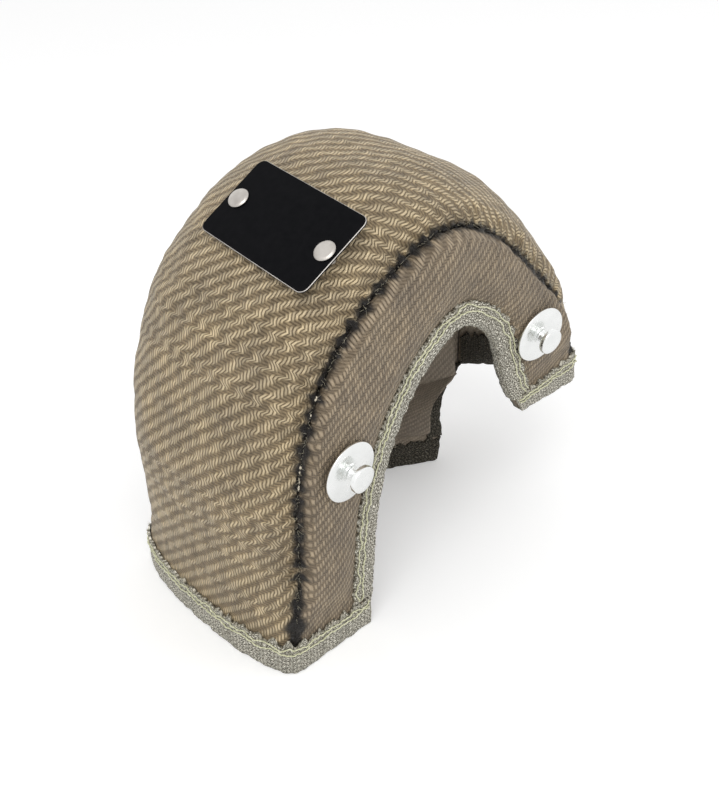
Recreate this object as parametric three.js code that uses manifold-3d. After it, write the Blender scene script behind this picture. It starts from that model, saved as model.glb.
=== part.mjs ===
import * as THREE from 'three';
import { mergeVertices } from 'three/addons/utils/BufferGeometryUtils.js';
import Module from 'manifold-3d';

const wasm = await Module();
wasm.setup();

// Driving sizes in millimetres. X runs from the long leg to the short one, Y from front to rear, Z up.
const blanketSpan = 241;
const blanketHeight = 227;
const cutoutLeft = 74;
const cutoutWidth = 113;
const cutoutHeight = 152.5;
const rearCutoutWidth = 84;
const footWidth = 119;
const endWidth = 87;
const widthSwell = 10;
const shoulderDrop = 20.5;
const endShoulderDrop = 5;
const footShoulderDrop = 10;
const padThickness = 22;
const sideThickness = 15;
const cornerThickness = 6;
const panelPuff = 4.5;
const ply = 1.6;
const plyGap = 0.3;
const legHem = 19;
const cutoutHem = 12;
const flapHem = 24;
const pinchRun = 28;
const tape = 1.2;
const tapeGap = 0.4;
const seamGap = 0.25;
const postDisc = 30;
const postDiscThickness = 1.2;
const postHead = 13.5;
const postHeadThickness = 2.6;
const postPin = 6;
const postReach = 9;
const postLock = 24;
const postHoleGap = 0.4;
const postStandOff = 0.75;
const postHeadEase = 0.8;
const postTailThickness = 1.2;
const postTailFlare = 1.5;
const plateLength = 72;
const plateHeight = 41.9;
const plateThickness = 1;
const plateCorner = 4;
const plateTurn = -0.068;
const plateRise = 0.9;
const plateReach = 80;
const rivetHead = 10;
const rivetShank = 4;
const rivetInset = 6.5;
const rivetHeadThickness = 1.2;
const rivetTail = 0.8;
const rivetEase = 0.5;
const plateAlong = 0.461;
const plateY = 45.9;

const hemCore = 2 * ply + plyGap;
const shoulderPower = 3;
const flatPower = 5;
const innerPower = 2.5;
const humpPower = 0.6;
const flapEdgeShare = 0.35;
const battingStart = 0.55;
const battingEnd = 0.88;
const battingEase = 1.9;
const postSides = 20;

// Ribs from the long leg's foot over the top to the short leg's end. Each gives the crown's point as shares
// of the span and height, then the front cut-out's as shares of the cut-out, then the rear one's in the same way.
const ribs = [
  [0.056, 0, 0, 0, 0, 0],
  [0.051, 0.211, 0.01, 0.275, 0.01, 0.275],
  [0.041, 0.471, 0.044, 0.538, 0.05, 0.538],
  [0.104, 0.727, 0.15, 0.754, 0.15, 0.754],
  [0.228, 0.885, 0.283, 0.898, 0.28, 0.898],
  [0.415, 0.991, 0.434, 0.984, 0.43, 0.984],
  [0.535, 0.996, 0.531, 1, 0.54, 1],
  [0.647, 0.949, 0.646, 0.957, 0.66, 0.965],
  [0.805, 0.817, 0.761, 0.866, 0.83, 0.875],
  [0.942, 0.608, 0.841, 0.715, 0.95, 0.73],
  [0.983, 0.458, 0.911, 0.603, 0.99, 0.6],
  [1, 0.322, 1, 0.498, 1, 0.48],
];
// The rear flap below the short leg, from its top down to its hem: shares of its height, of how far its outer
// edge has moved in, and of its lean.
const flapRibs = [[0.2, 0.26, 0.25], [0.34, 0.72, 0.6], [0.5, 0.95, 0.8]];
const flapHemRib = [0.99, 0.93];
const flapInset = 36;
const flapLean = 18;
const flapInnerLean = 18;

const fabric = new THREE.MeshStandardMaterial({ color: 0x8a7a5a, roughness: 0.55, metalness: 0.1 });
const sideFabric = new THREE.MeshStandardMaterial({ color: 0x7a6c58, roughness: 0.7, metalness: 0 });
const linerFabric = new THREE.MeshStandardMaterial({ color: 0x8b7c6c, roughness: 0.8, metalness: 0 });
const wool = new THREE.MeshStandardMaterial({ color: 0xe6dfcf, roughness: 1, metalness: 0 });
const mesh = new THREE.MeshStandardMaterial({ color: 0x84826f, roughness: 0.6, metalness: 0.3 });
const steel = new THREE.MeshStandardMaterial({ color: 0xd5d8d8, roughness: 0.2, metalness: 1 });
const blackPlate = new THREE.MeshStandardMaterial({ color: 0x08090c, roughness: 0.25, metalness: 0.2 });

function smooth(low, high, value) {
  const share = Math.min(1, Math.max(0, (value - low) / (high - low)));
  return share * share * (3 - 2 * share);
}

function curveThrough(points) {
  return new THREE.CatmullRomCurve3(points, false, 'centripetal');
}

const ribPoint = (x, z) => new THREE.Vector3(x, 0, z);
const crownCurve = curveThrough(ribs.map(([x, z]) => ribPoint(x * blanketSpan, z * blanketHeight)));
const frontCutout = curveThrough(ribs.map((rib) => (
  ribPoint(cutoutLeft + rib[2] * cutoutWidth, rib[3] * cutoutHeight))));
const rearCutout = curveThrough(ribs.map((rib) => (
  ribPoint(cutoutLeft + rib[4] * rearCutoutWidth, rib[5] * cutoutHeight))));
const crownLength = crownCurve.getLength();
const between = (value, other, share) => value + (other - value) * share;

// The rear panel's depth from the front one, narrowing towards the short leg.
function rearDepth(x) {
  const along = x / blanketSpan;
  return between(footWidth, endWidth, along) + widthSwell * 4 * along * (1 - along);
}

// One slice of the blanket, at a distance along the crown from the long leg's foot.
function station(run) {
  const share = crownCurve.getUtoTmapping(0, run);
  const crown = crownCurve.getPoint(share);
  const cutout = frontCutout.getPoint(share);
  const rear = rearCutout.getPoint(share);
  const endFade = smooth(0.7, 1, run / crownLength);
  const footFade = smooth(0.2, 0, run / crownLength);
  const fill = smooth(0, pinchRun, Math.min(run, crownLength - run) - legHem);
  return {
    crown,
    cutout,
    rear: rear.setY(rearDepth(rear.x)),
    inward: cutout.clone().sub(crown).normalize(),
    width: rearDepth(crown.x),
    drop: between(between(shoulderDrop, endShoulderDrop, endFade), footShoulderDrop, footFade),
    fill,
    flat: smooth(plateReach, 0, Math.abs(run - crownLength * plateAlong)),
    flapFill: run > crownLength / 2 ? 1 : 0,
  };
}

// Outer and inner face of the padded band, v from -1 at the front seam to 1 at the rear seam.
function bandSkin(slice, v) {
  const half = slice.width / 2;
  const side = between(hemCore, sideThickness, slice.fill);
  const middle = between(hemCore, padThickness, slice.fill);
  const corner = between(hemCore, cornerThickness, slice.fill);
  const power = v < 0 ? between(shoulderPower, flatPower, slice.flat) : shoulderPower;
  const outerDepth = slice.drop * Math.abs(v) ** power;
  const innerDepth = outerDepth + between(middle, corner, Math.abs(v) ** innerPower);
  return {
    outer: slice.crown.clone().addScaledVector(slice.inward, outerDepth).setY(half + half * v),
    inner: slice.crown.clone().addScaledVector(slice.inward, innerDepth).setY(half + (half - side) * v),
  };
}

// Outer and inner face of a side panel, w from 0 at its outer edge to 1 at its cut-out. facing is -1 at the
// front and 1 at the rear. The padding thins out to a hem at every bound edge, the flap's outer one too.
function panelSkin(edge, inside, facing, w, slice, flapFill) {
  const share = Math.min(1, w / (1 - cutoutHem / edge.outer.distanceTo(inside)));
  const hump = (4 * share * (1 - share)) ** humpPower;
  const rise = smooth(flapEdgeShare, 2 * flapEdgeShare, share);
  const fill = between(flapFill * rise, 1, slice.fill) * (1 - share ** 3);
  const puff = between(flapFill * rise, 1, slice.fill) * hump;
  const outer = edge.outer.clone().lerp(inside, w);
  const inner = edge.inner.clone().lerp(inside, w);
  inner.y = outer.y - facing * between(hemCore, sideThickness, fill);
  outer.y += facing * panelPuff * puff;
  return { outer, inner };
}

const frontSkin = (slice, w) => panelSkin(bandSkin(slice, -1), slice.cutout, -1, w, slice, 0);
const rearSkin = (slice, w) => panelSkin(slice.flap ?? bandSkin(slice, 1), slice.rear, 1, w, slice, slice.flapFill);

// Slices of the flap that goes on below the short leg at the rear, down to the floor.
function flapSlice([down, inset, lean]) {
  const top = station(crownLength);
  const corner = bandSkin(top, 1).outer;
  const outer = new THREE.Vector3(corner.x - flapInset * inset, corner.y - flapLean * lean, corner.z * (1 - down));
  const inner = outer.clone().setY(outer.y - hemCore);
  const rear = new THREE.Vector3(top.rear.x, top.rear.y - flapInnerLean * lean, top.rear.z * (1 - down));
  return { flap: { outer, inner }, rear, fill: 0, flapFill: smooth(0, pinchRun, outer.z - flapHem) };
}

function evenly(low, high, count) {
  return Array.from({ length: count }, (_, i) => between(low, high, i / (count - 1)));
}

const endRuns = [0, legHem, legHem + 8, legHem + 18];
const middleRuns = evenly(legHem + pinchRun, crownLength - legHem - pinchRun, 17);
const runs = [...endRuns, ...middleRuns, ...endRuns.map((run) => crownLength - run).reverse()];
const slices = runs.map(station);
const paddedSlices = slices.slice(2, -2);
const flapTop = bandSkin(slices.at(-1), 1).outer.z;
const flapDown = (height) => 1 - height / flapTop;
const flapSlices = [
  ...flapRibs.map(flapSlice),
  flapSlice([flapDown(flapHem + 2 * plyGap), ...flapHemRib]),
  flapSlice([flapDown(flapHem), ...flapHemRib]),
  flapSlice([1, 1, 1]),
];
const rearSlices = [...slices, ...flapSlices];

// A closed sheet between two faces. rows holds rows of points, each with its place on both faces.
function sheetGeometry(rows) {
  const high = rows.length;
  const wide = rows[0].length;
  const at = (row, column, face) => 2 * (row * wide + column) + face;
  const index = [];
  const quad = (a, b, c, d) => index.push(a, b, c, a, c, d);
  for (let row = 0; row + 1 < high; row += 1) {
    for (let column = 0; column + 1 < wide; column += 1) {
      quad(at(row, column, 0), at(row, column + 1, 0), at(row + 1, column + 1, 0), at(row + 1, column, 0));
      quad(at(row, column, 1), at(row + 1, column, 1), at(row + 1, column + 1, 1), at(row, column + 1, 1));
    }
    quad(at(row, 0, 1), at(row, 0, 0), at(row + 1, 0, 0), at(row + 1, 0, 1));
    quad(at(row, wide - 1, 0), at(row, wide - 1, 1), at(row + 1, wide - 1, 1), at(row + 1, wide - 1, 0));
  }
  for (let column = 0; column + 1 < wide; column += 1) {
    quad(at(0, column, 0), at(0, column, 1), at(0, column + 1, 1), at(0, column + 1, 0));
    quad(at(high - 1, column, 1), at(high - 1, column, 0), at(high - 1, column + 1, 0), at(high - 1, column + 1, 1));
  }
  const positions = rows.flat().flatMap(([first, second]) => [...first.toArray(), ...second.toArray()]);
  return closedGeometry(positions, index);
}

// Builds a geometry and turns its faces outward.
function closedGeometry(positions, index) {
  const point = (i) => new THREE.Vector3().fromArray(positions, 3 * index[i]);
  let volume = 0;
  for (let i = 0; i < index.length; i += 3) {
    volume += point(i).dot(point(i + 1).cross(point(i + 2)));
  }
  const geometry = new THREE.BufferGeometry();
  geometry.setAttribute('position', new THREE.Float32BufferAttribute(positions, 3));
  geometry.setIndex(volume < 0 ? [...index].reverse() : index);
  return geometry;
}

const blanket = new THREE.Group();

function addPiece(name, geometry, material, parent = blanket) {
  const piece = new THREE.Mesh(geometry, material);
  piece.name = name;
  parent.add(piece);
  return piece;
}

const toSolid = (geometry) => {
  const bare = new THREE.BufferGeometry();
  bare.setAttribute('position', geometry.getAttribute('position'));
  bare.setIndex(geometry.getIndex());
  const merged = mergeVertices(bare);
  return new wasm.Manifold(new wasm.Mesh({
    numProp: 3,
    vertProperties: new Float32Array(merged.getAttribute('position').array),
    triVerts: new Uint32Array(merged.getIndex().array),
  }));
};

function fromSolid(solid) {
  const cut = solid.getMesh();
  const geometry = new THREE.BufferGeometry();
  geometry.setAttribute('position', new THREE.BufferAttribute(cut.vertProperties, 3));
  geometry.setIndex(new THREE.BufferAttribute(cut.triVerts, 1));
  return geometry;
}

// A point at a depth below the outer face, measured towards the inner one.
const below = ({ outer, inner }, depth) => outer.clone().addScaledVector(inner.clone().sub(outer).normalize(), depth);

// The three plies of a padded panel: shell outside, batting between, liner inside.
const plies = {
  shell: (skin) => [skin.outer, below(skin, ply)],
  batting: (skin, ease) => [
    below(skin, ply + plyGap + ease),
    below(skin, skin.outer.distanceTo(skin.inner) - ply - plyGap - ease),
  ],
  liner: (skin) => [below(skin, skin.outer.distanceTo(skin.inner) - ply), skin.inner],
};

const bandShares = [-1, -0.9, -0.75, -0.5, 0, 0.5, 0.75, 0.9, 1];
const hemShareOf = (slice, edge, inside) => 1 - cutoutHem / edge.outer.distanceTo(inside);
const panelShares = [0, 0.12, flapEdgeShare, 0.65, 0.88];

function bandRows(rowSlices, layer) {
  return rowSlices.map((slice) => {
    const trim = 1 - 2 * seamGap / slice.width;
    return bandShares.map((v) => plies[layer](bandSkin(slice, v * trim), 0));
  });
}

// A side panel's rows run from its outer edge over the padded part to the hem line and the cut-out's edge.
function panelRows(rowSlices, skinOf, layer) {
  return rowSlices.map((slice) => {
    const edge = skinOf(slice, 0).outer;
    const length = edge.distanceTo(skinOf(slice, 1).outer);
    const hemLine = 1 - cutoutHem / length;
    const loose = layer === 'batting' ? 1 - slice.fill : 0;
    const padded = panelShares.map((share) => (
      Math.max(seamGap / length, hemLine * between(share, between(battingStart, battingEnd, share), loose))));
    const places = layer === 'batting' ? padded : [...padded, hemLine, 1];
    return places.map((w) => plies[layer](skinOf(slice, w), battingEase * Math.sqrt(loose)));
  });
}

// Where a lacing post stands on a side panel: share of the crown's length and of the panel's depth.
const posts = [
  { name: 'front_long_leg_post', skinOf: frontSkin, facing: -1, along: 0.27, across: 0.46 },
  { name: 'front_short_leg_post', skinOf: frontSkin, facing: -1, along: 0.853, across: 0.52 },
  { name: 'rear_long_leg_post', skinOf: rearSkin, facing: 1, along: 0.27, across: 0.46 },
  { name: 'rear_short_leg_post', skinOf: rearSkin, facing: 1, along: 0.853, across: 0.52 },
];

function turned(profile, sides) {
  return new THREE.LatheGeometry(profile.map(([radius, height]) => new THREE.Vector2(radius, height)), sides);
}

// The post's own axis is Y, pointing out of the panel. The disc and the lock washer clear the faces under them.
function placePost({ name, skinOf, facing, along, across }) {
  const skinAt = (run, w) => skinOf(station(crownLength * along + run), w);
  const { outer } = skinAt(0, across);
  const reach = postDisc / 2;
  const share = reach / skinAt(0, 0).outer.distanceTo(skinAt(0, 1).outer);
  const alongPanel = skinAt(reach, across).outer.sub(skinAt(-reach, across).outer);
  const acrossPanel = skinAt(0, across + share).outer.sub(skinAt(0, across - share).outer);
  const normal = alongPanel.cross(acrossPanel).normalize();
  normal.multiplyScalar(Math.sign(normal.y * facing));
  const group = new THREE.Group();
  group.position.copy(outer);
  group.quaternion.setFromUnitVectors(new THREE.Vector3(0, 1, 0), normal);
  group.updateMatrixWorld(true);
  const around = evenly(0, 2 * Math.PI, postSides).map((angle) => (
    skinAt(reach * Math.cos(angle), across + share * Math.sin(angle))));
  const height = (point) => point.clone().sub(outer).dot(normal);
  const rise = Math.max(0, ...around.map((skin) => height(skin.outer)));
  const depth = -Math.min(...around.map((skin) => height(skin.inner)));
  return { name, group, rise, depth, facing };
}

const placedPosts = posts.map(placePost);


// The plate's own Z points out of the crown and its X runs across the band, towards the front.
function placePlate() {
  const run = crownLength * plateAlong;
  const slice = station(run);
  const ahead = station(run + 1).crown.sub(slice.crown).normalize();
  const across = new THREE.Vector3(0, -1, 0);
  const out = across.clone().cross(ahead);
  const seat = slice.crown.clone().setY(plateY).addScaledVector(out, plateRise);
  const group = new THREE.Group();
  group.applyMatrix4(new THREE.Matrix4().makeBasis(across, ahead, out).setPosition(seat));
  group.rotateZ(plateTurn);
  group.updateMatrixWorld(true);
  const rivetX = plateLength / 2 - rivetInset;
  const rivets = [-rivetX, rivetX].map((x) => {
    const place = group.localToWorld(new THREE.Vector3(x, 0, 0));
    const shell = below(bandSkin(slice, 2 * place.y / slice.width - 1), ply);
    return { x, grip: place.sub(shell).dot(out) + rivetTail };
  });
  return { group, rivets };
}

const placedPlate = placePlate();

// A round cutter along the Y axis of the given frame.
function cutter(radius, length, frame) {
  const bar = new THREE.CylinderGeometry(radius, radius, length, postSides / 2);
  return toSolid(bar.applyMatrix4(frame));
}

const postCutters = (facing) => placedPosts.filter((post) => post.facing === facing).map(({ group }) => (
  cutter(postPin / 2 + postHoleGap, 4 * sideThickness, group.matrixWorld)));

const rivetCutters = placedPlate.rivets.map(({ x, grip }) => {
  const frame = placedPlate.group.matrixWorld.clone()
    .multiply(new THREE.Matrix4().makeTranslation(x, 0, 0))
    .multiply(new THREE.Matrix4().makeRotationX(Math.PI / 2));
  return cutter(rivetShank / 2 + postHoleGap, 2 * (grip + plyGap), frame);
});

const pierced = (rows, cutters) => fromSolid(
  cutters.reduce((solid, bar) => solid.subtract(bar), toSolid(sheetGeometry(rows))));
const frontCutters = postCutters(-1);
const rearCutters = postCutters(1);

addPiece('outer_band', pierced(bandRows(slices, 'shell'), rivetCutters), fabric);
addPiece('band_batting', pierced(bandRows(paddedSlices, 'batting'), rivetCutters), wool);
addPiece('band_liner', sheetGeometry(bandRows(slices, 'liner')), linerFabric);
addPiece('front_side_panel', pierced(panelRows(slices, frontSkin, 'shell'), frontCutters), sideFabric);
addPiece('front_batting', pierced(panelRows(paddedSlices, frontSkin, 'batting'), frontCutters), wool);
addPiece('front_liner', pierced(panelRows(slices, frontSkin, 'liner'), frontCutters), linerFabric);
addPiece('rear_side_panel', pierced(panelRows(rearSlices, rearSkin, 'shell'), rearCutters), sideFabric);
addPiece('rear_batting', pierced(panelRows(rearSlices.slice(2, -4), rearSkin, 'batting'), rearCutters), wool);
addPiece('rear_liner', pierced(panelRows(rearSlices, rearSkin, 'liner'), rearCutters), linerFabric);

// A folded tape over a bound edge. Each place has the skins from the hem line to the edge, and how far the
// tape spreads at a corner.
function tapeGeometry(places) {
  return sheetGeometry(places.map(({ skins, spread = 1 }) => {
    const edge = skins.at(-1);
    const up = edge.outer.clone().sub(edge.inner).normalize().multiplyScalar(spread);
    const off = edge.outer.clone().sub(skins[0].outer).normalize();
    const shifted = (point, normal, away) => [tapeGap + tape, tapeGap].map((size) => (
      point.clone().addScaledVector(up, normal * size).addScaledVector(off, away * size)));
    const awayOf = (skin) => (skin === edge ? 1 : 0);
    return [
      ...skins.map((skin) => shifted(skin.outer, 1, awayOf(skin))),
      ...skins.map((skin) => shifted(skin.inner, -1, awayOf(skin))).reverse(),
    ];
  }));
}

const cornerSpread = Math.SQRT2;
const endTapeShares = [1, 0.7, 0.3];
const bandTapeShares = bandShares.slice(1, -1);

// Places along a leg's end, from the edge slice and the slice at its hem line.
function endPlaces(edgeSlice, lineSlice, skinOf, shares) {
  return shares.map((share) => ({ skins: [skinOf(lineSlice, share), skinOf(edgeSlice, share)] }));
}

function cornerPlace(edgeSlice, lineSlice, v) {
  return { skins: [bandSkin(lineSlice, v), bandSkin(edgeSlice, v)], spread: cornerSpread };
}

const footPlaces = [
  ...endPlaces(slices[0], slices[1], rearSkin, endTapeShares),
  cornerPlace(slices[0], slices[1], 1),
  ...endPlaces(slices[0], slices[1], bandSkin, [...bandTapeShares].reverse()),
  cornerPlace(slices[0], slices[1], -1),
  ...endPlaces(slices[0], slices[1], frontSkin, [...endTapeShares].reverse()),
];
const lastSlice = slices.at(-1);
const endLine = slices.at(-2);
const endTapePlaces = [
  ...endPlaces(lastSlice, endLine, frontSkin, endTapeShares),
  cornerPlace(lastSlice, endLine, -1),
  ...endPlaces(lastSlice, endLine, bandSkin, bandTapeShares),
];

// Places along a cut-out, between the tapes of the legs' ends.
function cutoutPlaces(rowSlices, skinOf) {
  return rowSlices.map((slice) => {
    const hemLine = 1 - cutoutHem / skinOf(slice, 0).outer.distanceTo(skinOf(slice, 1).outer);
    return { skins: [skinOf(slice, hemLine), skinOf(slice, 1)] };
  });
}

// Places along the flap's free outer edge.
function flapEdgePlaces(rowSlices) {
  return rowSlices.map((slice) => {
    const hemLine = 1 - cutoutHem / rearSkin(slice, 0).outer.distanceTo(rearSkin(slice, 1).outer);
    return { skins: [flapEdgeShare, panelShares[1], 0].map((share) => rearSkin(slice, share * hemLine)) };
  });
}

const tapeStart = station(legHem + 2 * plyGap);
const tapeEnd = station(crownLength - legHem - 2 * plyGap);
const innerSlices = slices.slice(2, -2);
addPiece('long_leg_foot_binding', tapeGeometry(footPlaces), mesh);
addPiece('short_leg_end_binding', tapeGeometry(endTapePlaces), mesh);
addPiece('front_cutout_binding', tapeGeometry(cutoutPlaces([tapeStart, ...innerSlices, tapeEnd], frontSkin)), mesh);

const taped = flapSlices.slice(0, -2);
const [flapHemLine, flapFloor] = flapSlices.slice(-2);
addPiece('rear_cutout_binding', tapeGeometry(cutoutPlaces(
  [tapeStart, ...innerSlices, endLine, lastSlice, ...taped], rearSkin)), mesh);
addPiece('flap_foot_binding', tapeGeometry(
  endPlaces(flapFloor, flapHemLine, rearSkin, [...endTapeShares, 0])), mesh);
addPiece('flap_edge_binding', tapeGeometry(flapEdgePlaces([...taped].reverse())), mesh);

// A lacing post: a wide disc outside, a headed stud through the panel, and a lock washer inside.
function addPost({ name, group, rise, depth }) {
  blanket.add(group);
  const pin = postPin / 2;
  const hole = pin + plyGap;
  const discLow = rise + postStandOff;
  const discTop = discLow + postDiscThickness;
  const lockTop = -depth - postStandOff;
  const lockBottom = lockTop - postDiscThickness;
  const headTop = discLow + postReach;
  const headSide = headTop - postHeadThickness;
  const tailTop = lockBottom - plyGap;
  const ring = (radius, low, high) => turned([[hole, low], [radius, low], [radius, high], [hole, high], [hole, low]], postSides);
  addPiece(`${name}_disc`, ring(postDisc / 2, discLow, discTop), steel, group);
  addPiece(`${name}_lock_washer`, ring(postLock / 2, lockBottom, lockTop), steel, group);
  addPiece(`${name}_stud`, turned([
    [0, tailTop - postTailThickness],
    [pin + postTailFlare, tailTop - postTailThickness],
    [pin + postTailFlare, tailTop],
    [pin, tailTop],
    [pin, headSide],
    [postHead / 2, headSide],
    [postHead / 2, headTop - postHeadEase],
    [postHead / 2 - postHeadEase, headTop],
    [0, headTop],
  ], postSides), steel, group);
}

placedPosts.forEach(addPost);

function addPlate({ group, rivets }) {
  blanket.add(group);
  const outline = new THREE.Shape();
  const [x, y, r] = [plateLength / 2, plateHeight / 2, plateCorner];
  outline.absarc(x - r, y - r, r, 0, Math.PI / 2);
  outline.absarc(r - x, y - r, r, Math.PI / 2, Math.PI);
  outline.absarc(r - x, r - y, r, Math.PI, 1.5 * Math.PI);
  outline.absarc(x - r, r - y, r, 1.5 * Math.PI, 2 * Math.PI);
  rivets.forEach((rivet) => {
    const hole = new THREE.Path();
    hole.absarc(rivet.x, 0, rivetShank / 2 + plyGap, 0, 2 * Math.PI, true);
    outline.holes.push(hole);
  });
  addPiece('name_plate', new THREE.ExtrudeGeometry(
    outline, { depth: plateThickness, bevelEnabled: false, curveSegments: 6 }), blackPlate, group);
  rivets.forEach((rivet, i) => {
    const piece = addPiece(`plate_rivet_${i + 1}`, rivetGeometry(rivet.grip), steel, group);
    piece.rotation.x = Math.PI / 2;
    piece.position.x = rivet.x;
  });
}

// A flat-headed rivet. Its head sits on the plate and its shank goes through the shell.
function rivetGeometry(grip) {
  const shank = rivetShank / 2;
  const headLow = plateThickness + plyGap;
  return turned([
    [0, -grip],
    [shank, -grip],
    [shank, headLow],
    [rivetHead / 2, headLow],
    [rivetHead / 2 - rivetEase, headLow + rivetHeadThickness],
    [0, headLow + rivetHeadThickness],
  ], postSides);
}

addPlate(placedPlate);

// The floor is at zero and the blanket's box is centred over the origin.
blanket.updateMatrixWorld(true);
const box = new THREE.Box3().setFromObject(blanket, true);
const middle = box.getCenter(new THREE.Vector3());
blanket.position.set(-middle.x, -middle.y, -box.min.z);
blanket.updateMatrixWorld(true);

export default blanket;
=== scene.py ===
import math

import bpy
import numpy as np
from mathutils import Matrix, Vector


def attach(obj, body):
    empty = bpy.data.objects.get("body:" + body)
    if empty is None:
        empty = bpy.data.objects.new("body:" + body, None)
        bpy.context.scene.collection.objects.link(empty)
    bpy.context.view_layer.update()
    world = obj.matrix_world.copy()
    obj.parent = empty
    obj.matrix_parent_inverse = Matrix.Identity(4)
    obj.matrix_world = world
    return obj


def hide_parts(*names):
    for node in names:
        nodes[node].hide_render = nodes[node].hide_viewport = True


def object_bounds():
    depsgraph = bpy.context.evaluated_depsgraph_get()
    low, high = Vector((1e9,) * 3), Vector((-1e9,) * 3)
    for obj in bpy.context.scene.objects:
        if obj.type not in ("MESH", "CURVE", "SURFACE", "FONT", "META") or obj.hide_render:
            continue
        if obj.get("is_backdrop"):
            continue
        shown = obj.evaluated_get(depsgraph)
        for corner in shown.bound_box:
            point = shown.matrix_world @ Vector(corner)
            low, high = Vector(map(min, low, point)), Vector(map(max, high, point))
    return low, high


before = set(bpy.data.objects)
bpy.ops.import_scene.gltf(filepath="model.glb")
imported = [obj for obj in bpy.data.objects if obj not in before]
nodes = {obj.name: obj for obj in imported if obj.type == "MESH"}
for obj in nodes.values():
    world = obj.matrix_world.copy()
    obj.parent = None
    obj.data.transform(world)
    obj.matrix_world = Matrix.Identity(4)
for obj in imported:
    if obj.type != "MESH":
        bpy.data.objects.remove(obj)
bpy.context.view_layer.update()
print("frame loaded:", len(nodes), "nodes")

# the blanket's form, in millimetres, as the frame was drawn
blanket = {
    "span": 241, "height": 227,
    "cutoutLeft": 74, "cutoutWidth": 113, "cutoutHeight": 152.5, "rearCutoutWidth": 84,
    "footWidth": 119, "endWidth": 87, "widthSwell": 10,
    "shoulderDrop": 20.5, "endShoulderDrop": 5, "footShoulderDrop": 10,
    "padThickness": 22, "sideThickness": 15, "cornerThickness": 6, "hemThickness": 3.5,
    "panelPuff": 4.5,
    "legHem": 19, "cutoutHem": 12, "flapHem": 14, "pinchRun": 28,
    "shoulderPower": 3, "flatPower": 5, "innerPower": 2.5, "humpPower": 0.6,
    "plateReach": 80, "plateAlong": 0.461,
    "flapInset": 37, "flapLean": 18, "flapSideHem": 8.0, "flapRise": 6.0, "endSlant": 29.0, "slantStart": 0.62,
    "shellPly": 0.8,
    "shift": (-126.036, -59.205, 1.6),
}
# each rib: crown x and z as shares of the span and height, then front and rear cut-out x and z
ribs = np.array([
    [0.056, 0, 0, 0, 0, 0],
    [0.051, 0.211, 0.01, 0.275, 0.01, 0.275],
    [0.041, 0.471, 0.044, 0.538, 0.05, 0.538],
    [0.104, 0.727, 0.15, 0.754, 0.15, 0.754],
    [0.228, 0.885, 0.283, 0.898, 0.28, 0.898],
    [0.415, 0.991, 0.434, 0.984, 0.43, 0.984],
    [0.535, 0.996, 0.531, 1, 0.54, 1],
    [0.647, 0.949, 0.646, 0.957, 0.66, 0.965],
    [0.805, 0.817, 0.761, 0.866, 0.83, 0.875],
    [0.942, 0.608, 0.841, 0.715, 0.95, 0.73],
    [0.983, 0.458, 0.911, 0.603, 0.99, 0.6],
    [1, 0.322, 1, 0.498, 1, 0.48],
])
# the flap below the short leg: share of its height, of its inset and of its lean
flapRibs = np.array([
    [0, 0, 0], [0.1, 0.42, 0.18], [0.24, 0.74, 0.38], [0.46, 0.9, 0.6],
    [0.7, 0.96, 0.8], [0.88, 1, 0.92], [1, 1.1, 1],
])


def smooth(low, high, value):  # an S-shaped ease from 0 at low to 1 at high
    share = np.clip((value - low) / (high - low), 0, 1)
    return share * share * (3 - 2 * share)


def between(start, end, share):
    return start + (end - start) * share


def unit(vectors):
    return vectors / np.maximum(np.linalg.norm(vectors, axis=-1, keepdims=True), 1e-9)


def curveThrough(points):
    # cubic pieces through the points, each slope weighted by the square root of the distance to its neighbours
    p = np.vstack([2 * points[0] - points[1], points, 2 * points[-1] - points[-2]])
    d = np.linalg.norm(np.diff(p, axis=0), axis=1) ** 0.5

    def place(share):
        t = np.clip(share, 0, 1) * (len(points) - 1)
        i = np.minimum(t.astype(int), len(points) - 2)
        w = (t - i)[..., None]
        d0, d1, d2 = d[i][..., None], d[i + 1][..., None], d[i + 2][..., None]
        p0, p1, p2, p3 = p[i], p[i + 1], p[i + 2], p[i + 3]
        slopeIn = ((p1 - p0) / d0 - (p2 - p0) / (d0 + d1) + (p2 - p1) / d1) * d1
        slopeOut = ((p2 - p1) / d1 - (p3 - p1) / (d1 + d2) + (p3 - p2) / d2) * d1
        return (p1 + slopeIn * w + (3 * p2 - 3 * p1 - 2 * slopeIn - slopeOut) * w ** 2
                + (2 * p1 - 2 * p2 + slopeIn + slopeOut) * w ** 3)
    return place


def flatRow(x, z):
    return np.stack([x, np.zeros_like(x), z], axis=-1)


crownCurve = curveThrough(flatRow(ribs[:, 0] * blanket["span"], ribs[:, 1] * blanket["height"]))
frontCutout = curveThrough(flatRow(blanket["cutoutLeft"] + ribs[:, 2] * blanket["cutoutWidth"],
                                   ribs[:, 3] * blanket["cutoutHeight"]))
rearCutout = curveThrough(flatRow(blanket["cutoutLeft"] + ribs[:, 4] * blanket["rearCutoutWidth"],
                                  ribs[:, 5] * blanket["cutoutHeight"]))
flapCurve = curveThrough(flapRibs)
crownSteps = np.linspace(0, 1, 201)
crownRuns = np.concatenate([[0], np.cumsum(np.linalg.norm(np.diff(crownCurve(crownSteps), axis=0), axis=1))])
crownLength = crownRuns[-1]


def rearDepth(x):
    along = x / blanket["span"]
    return (between(blanket["footWidth"], blanket["endWidth"], along)
            + blanket["widthSwell"] * 4 * along * (1 - along))


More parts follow.
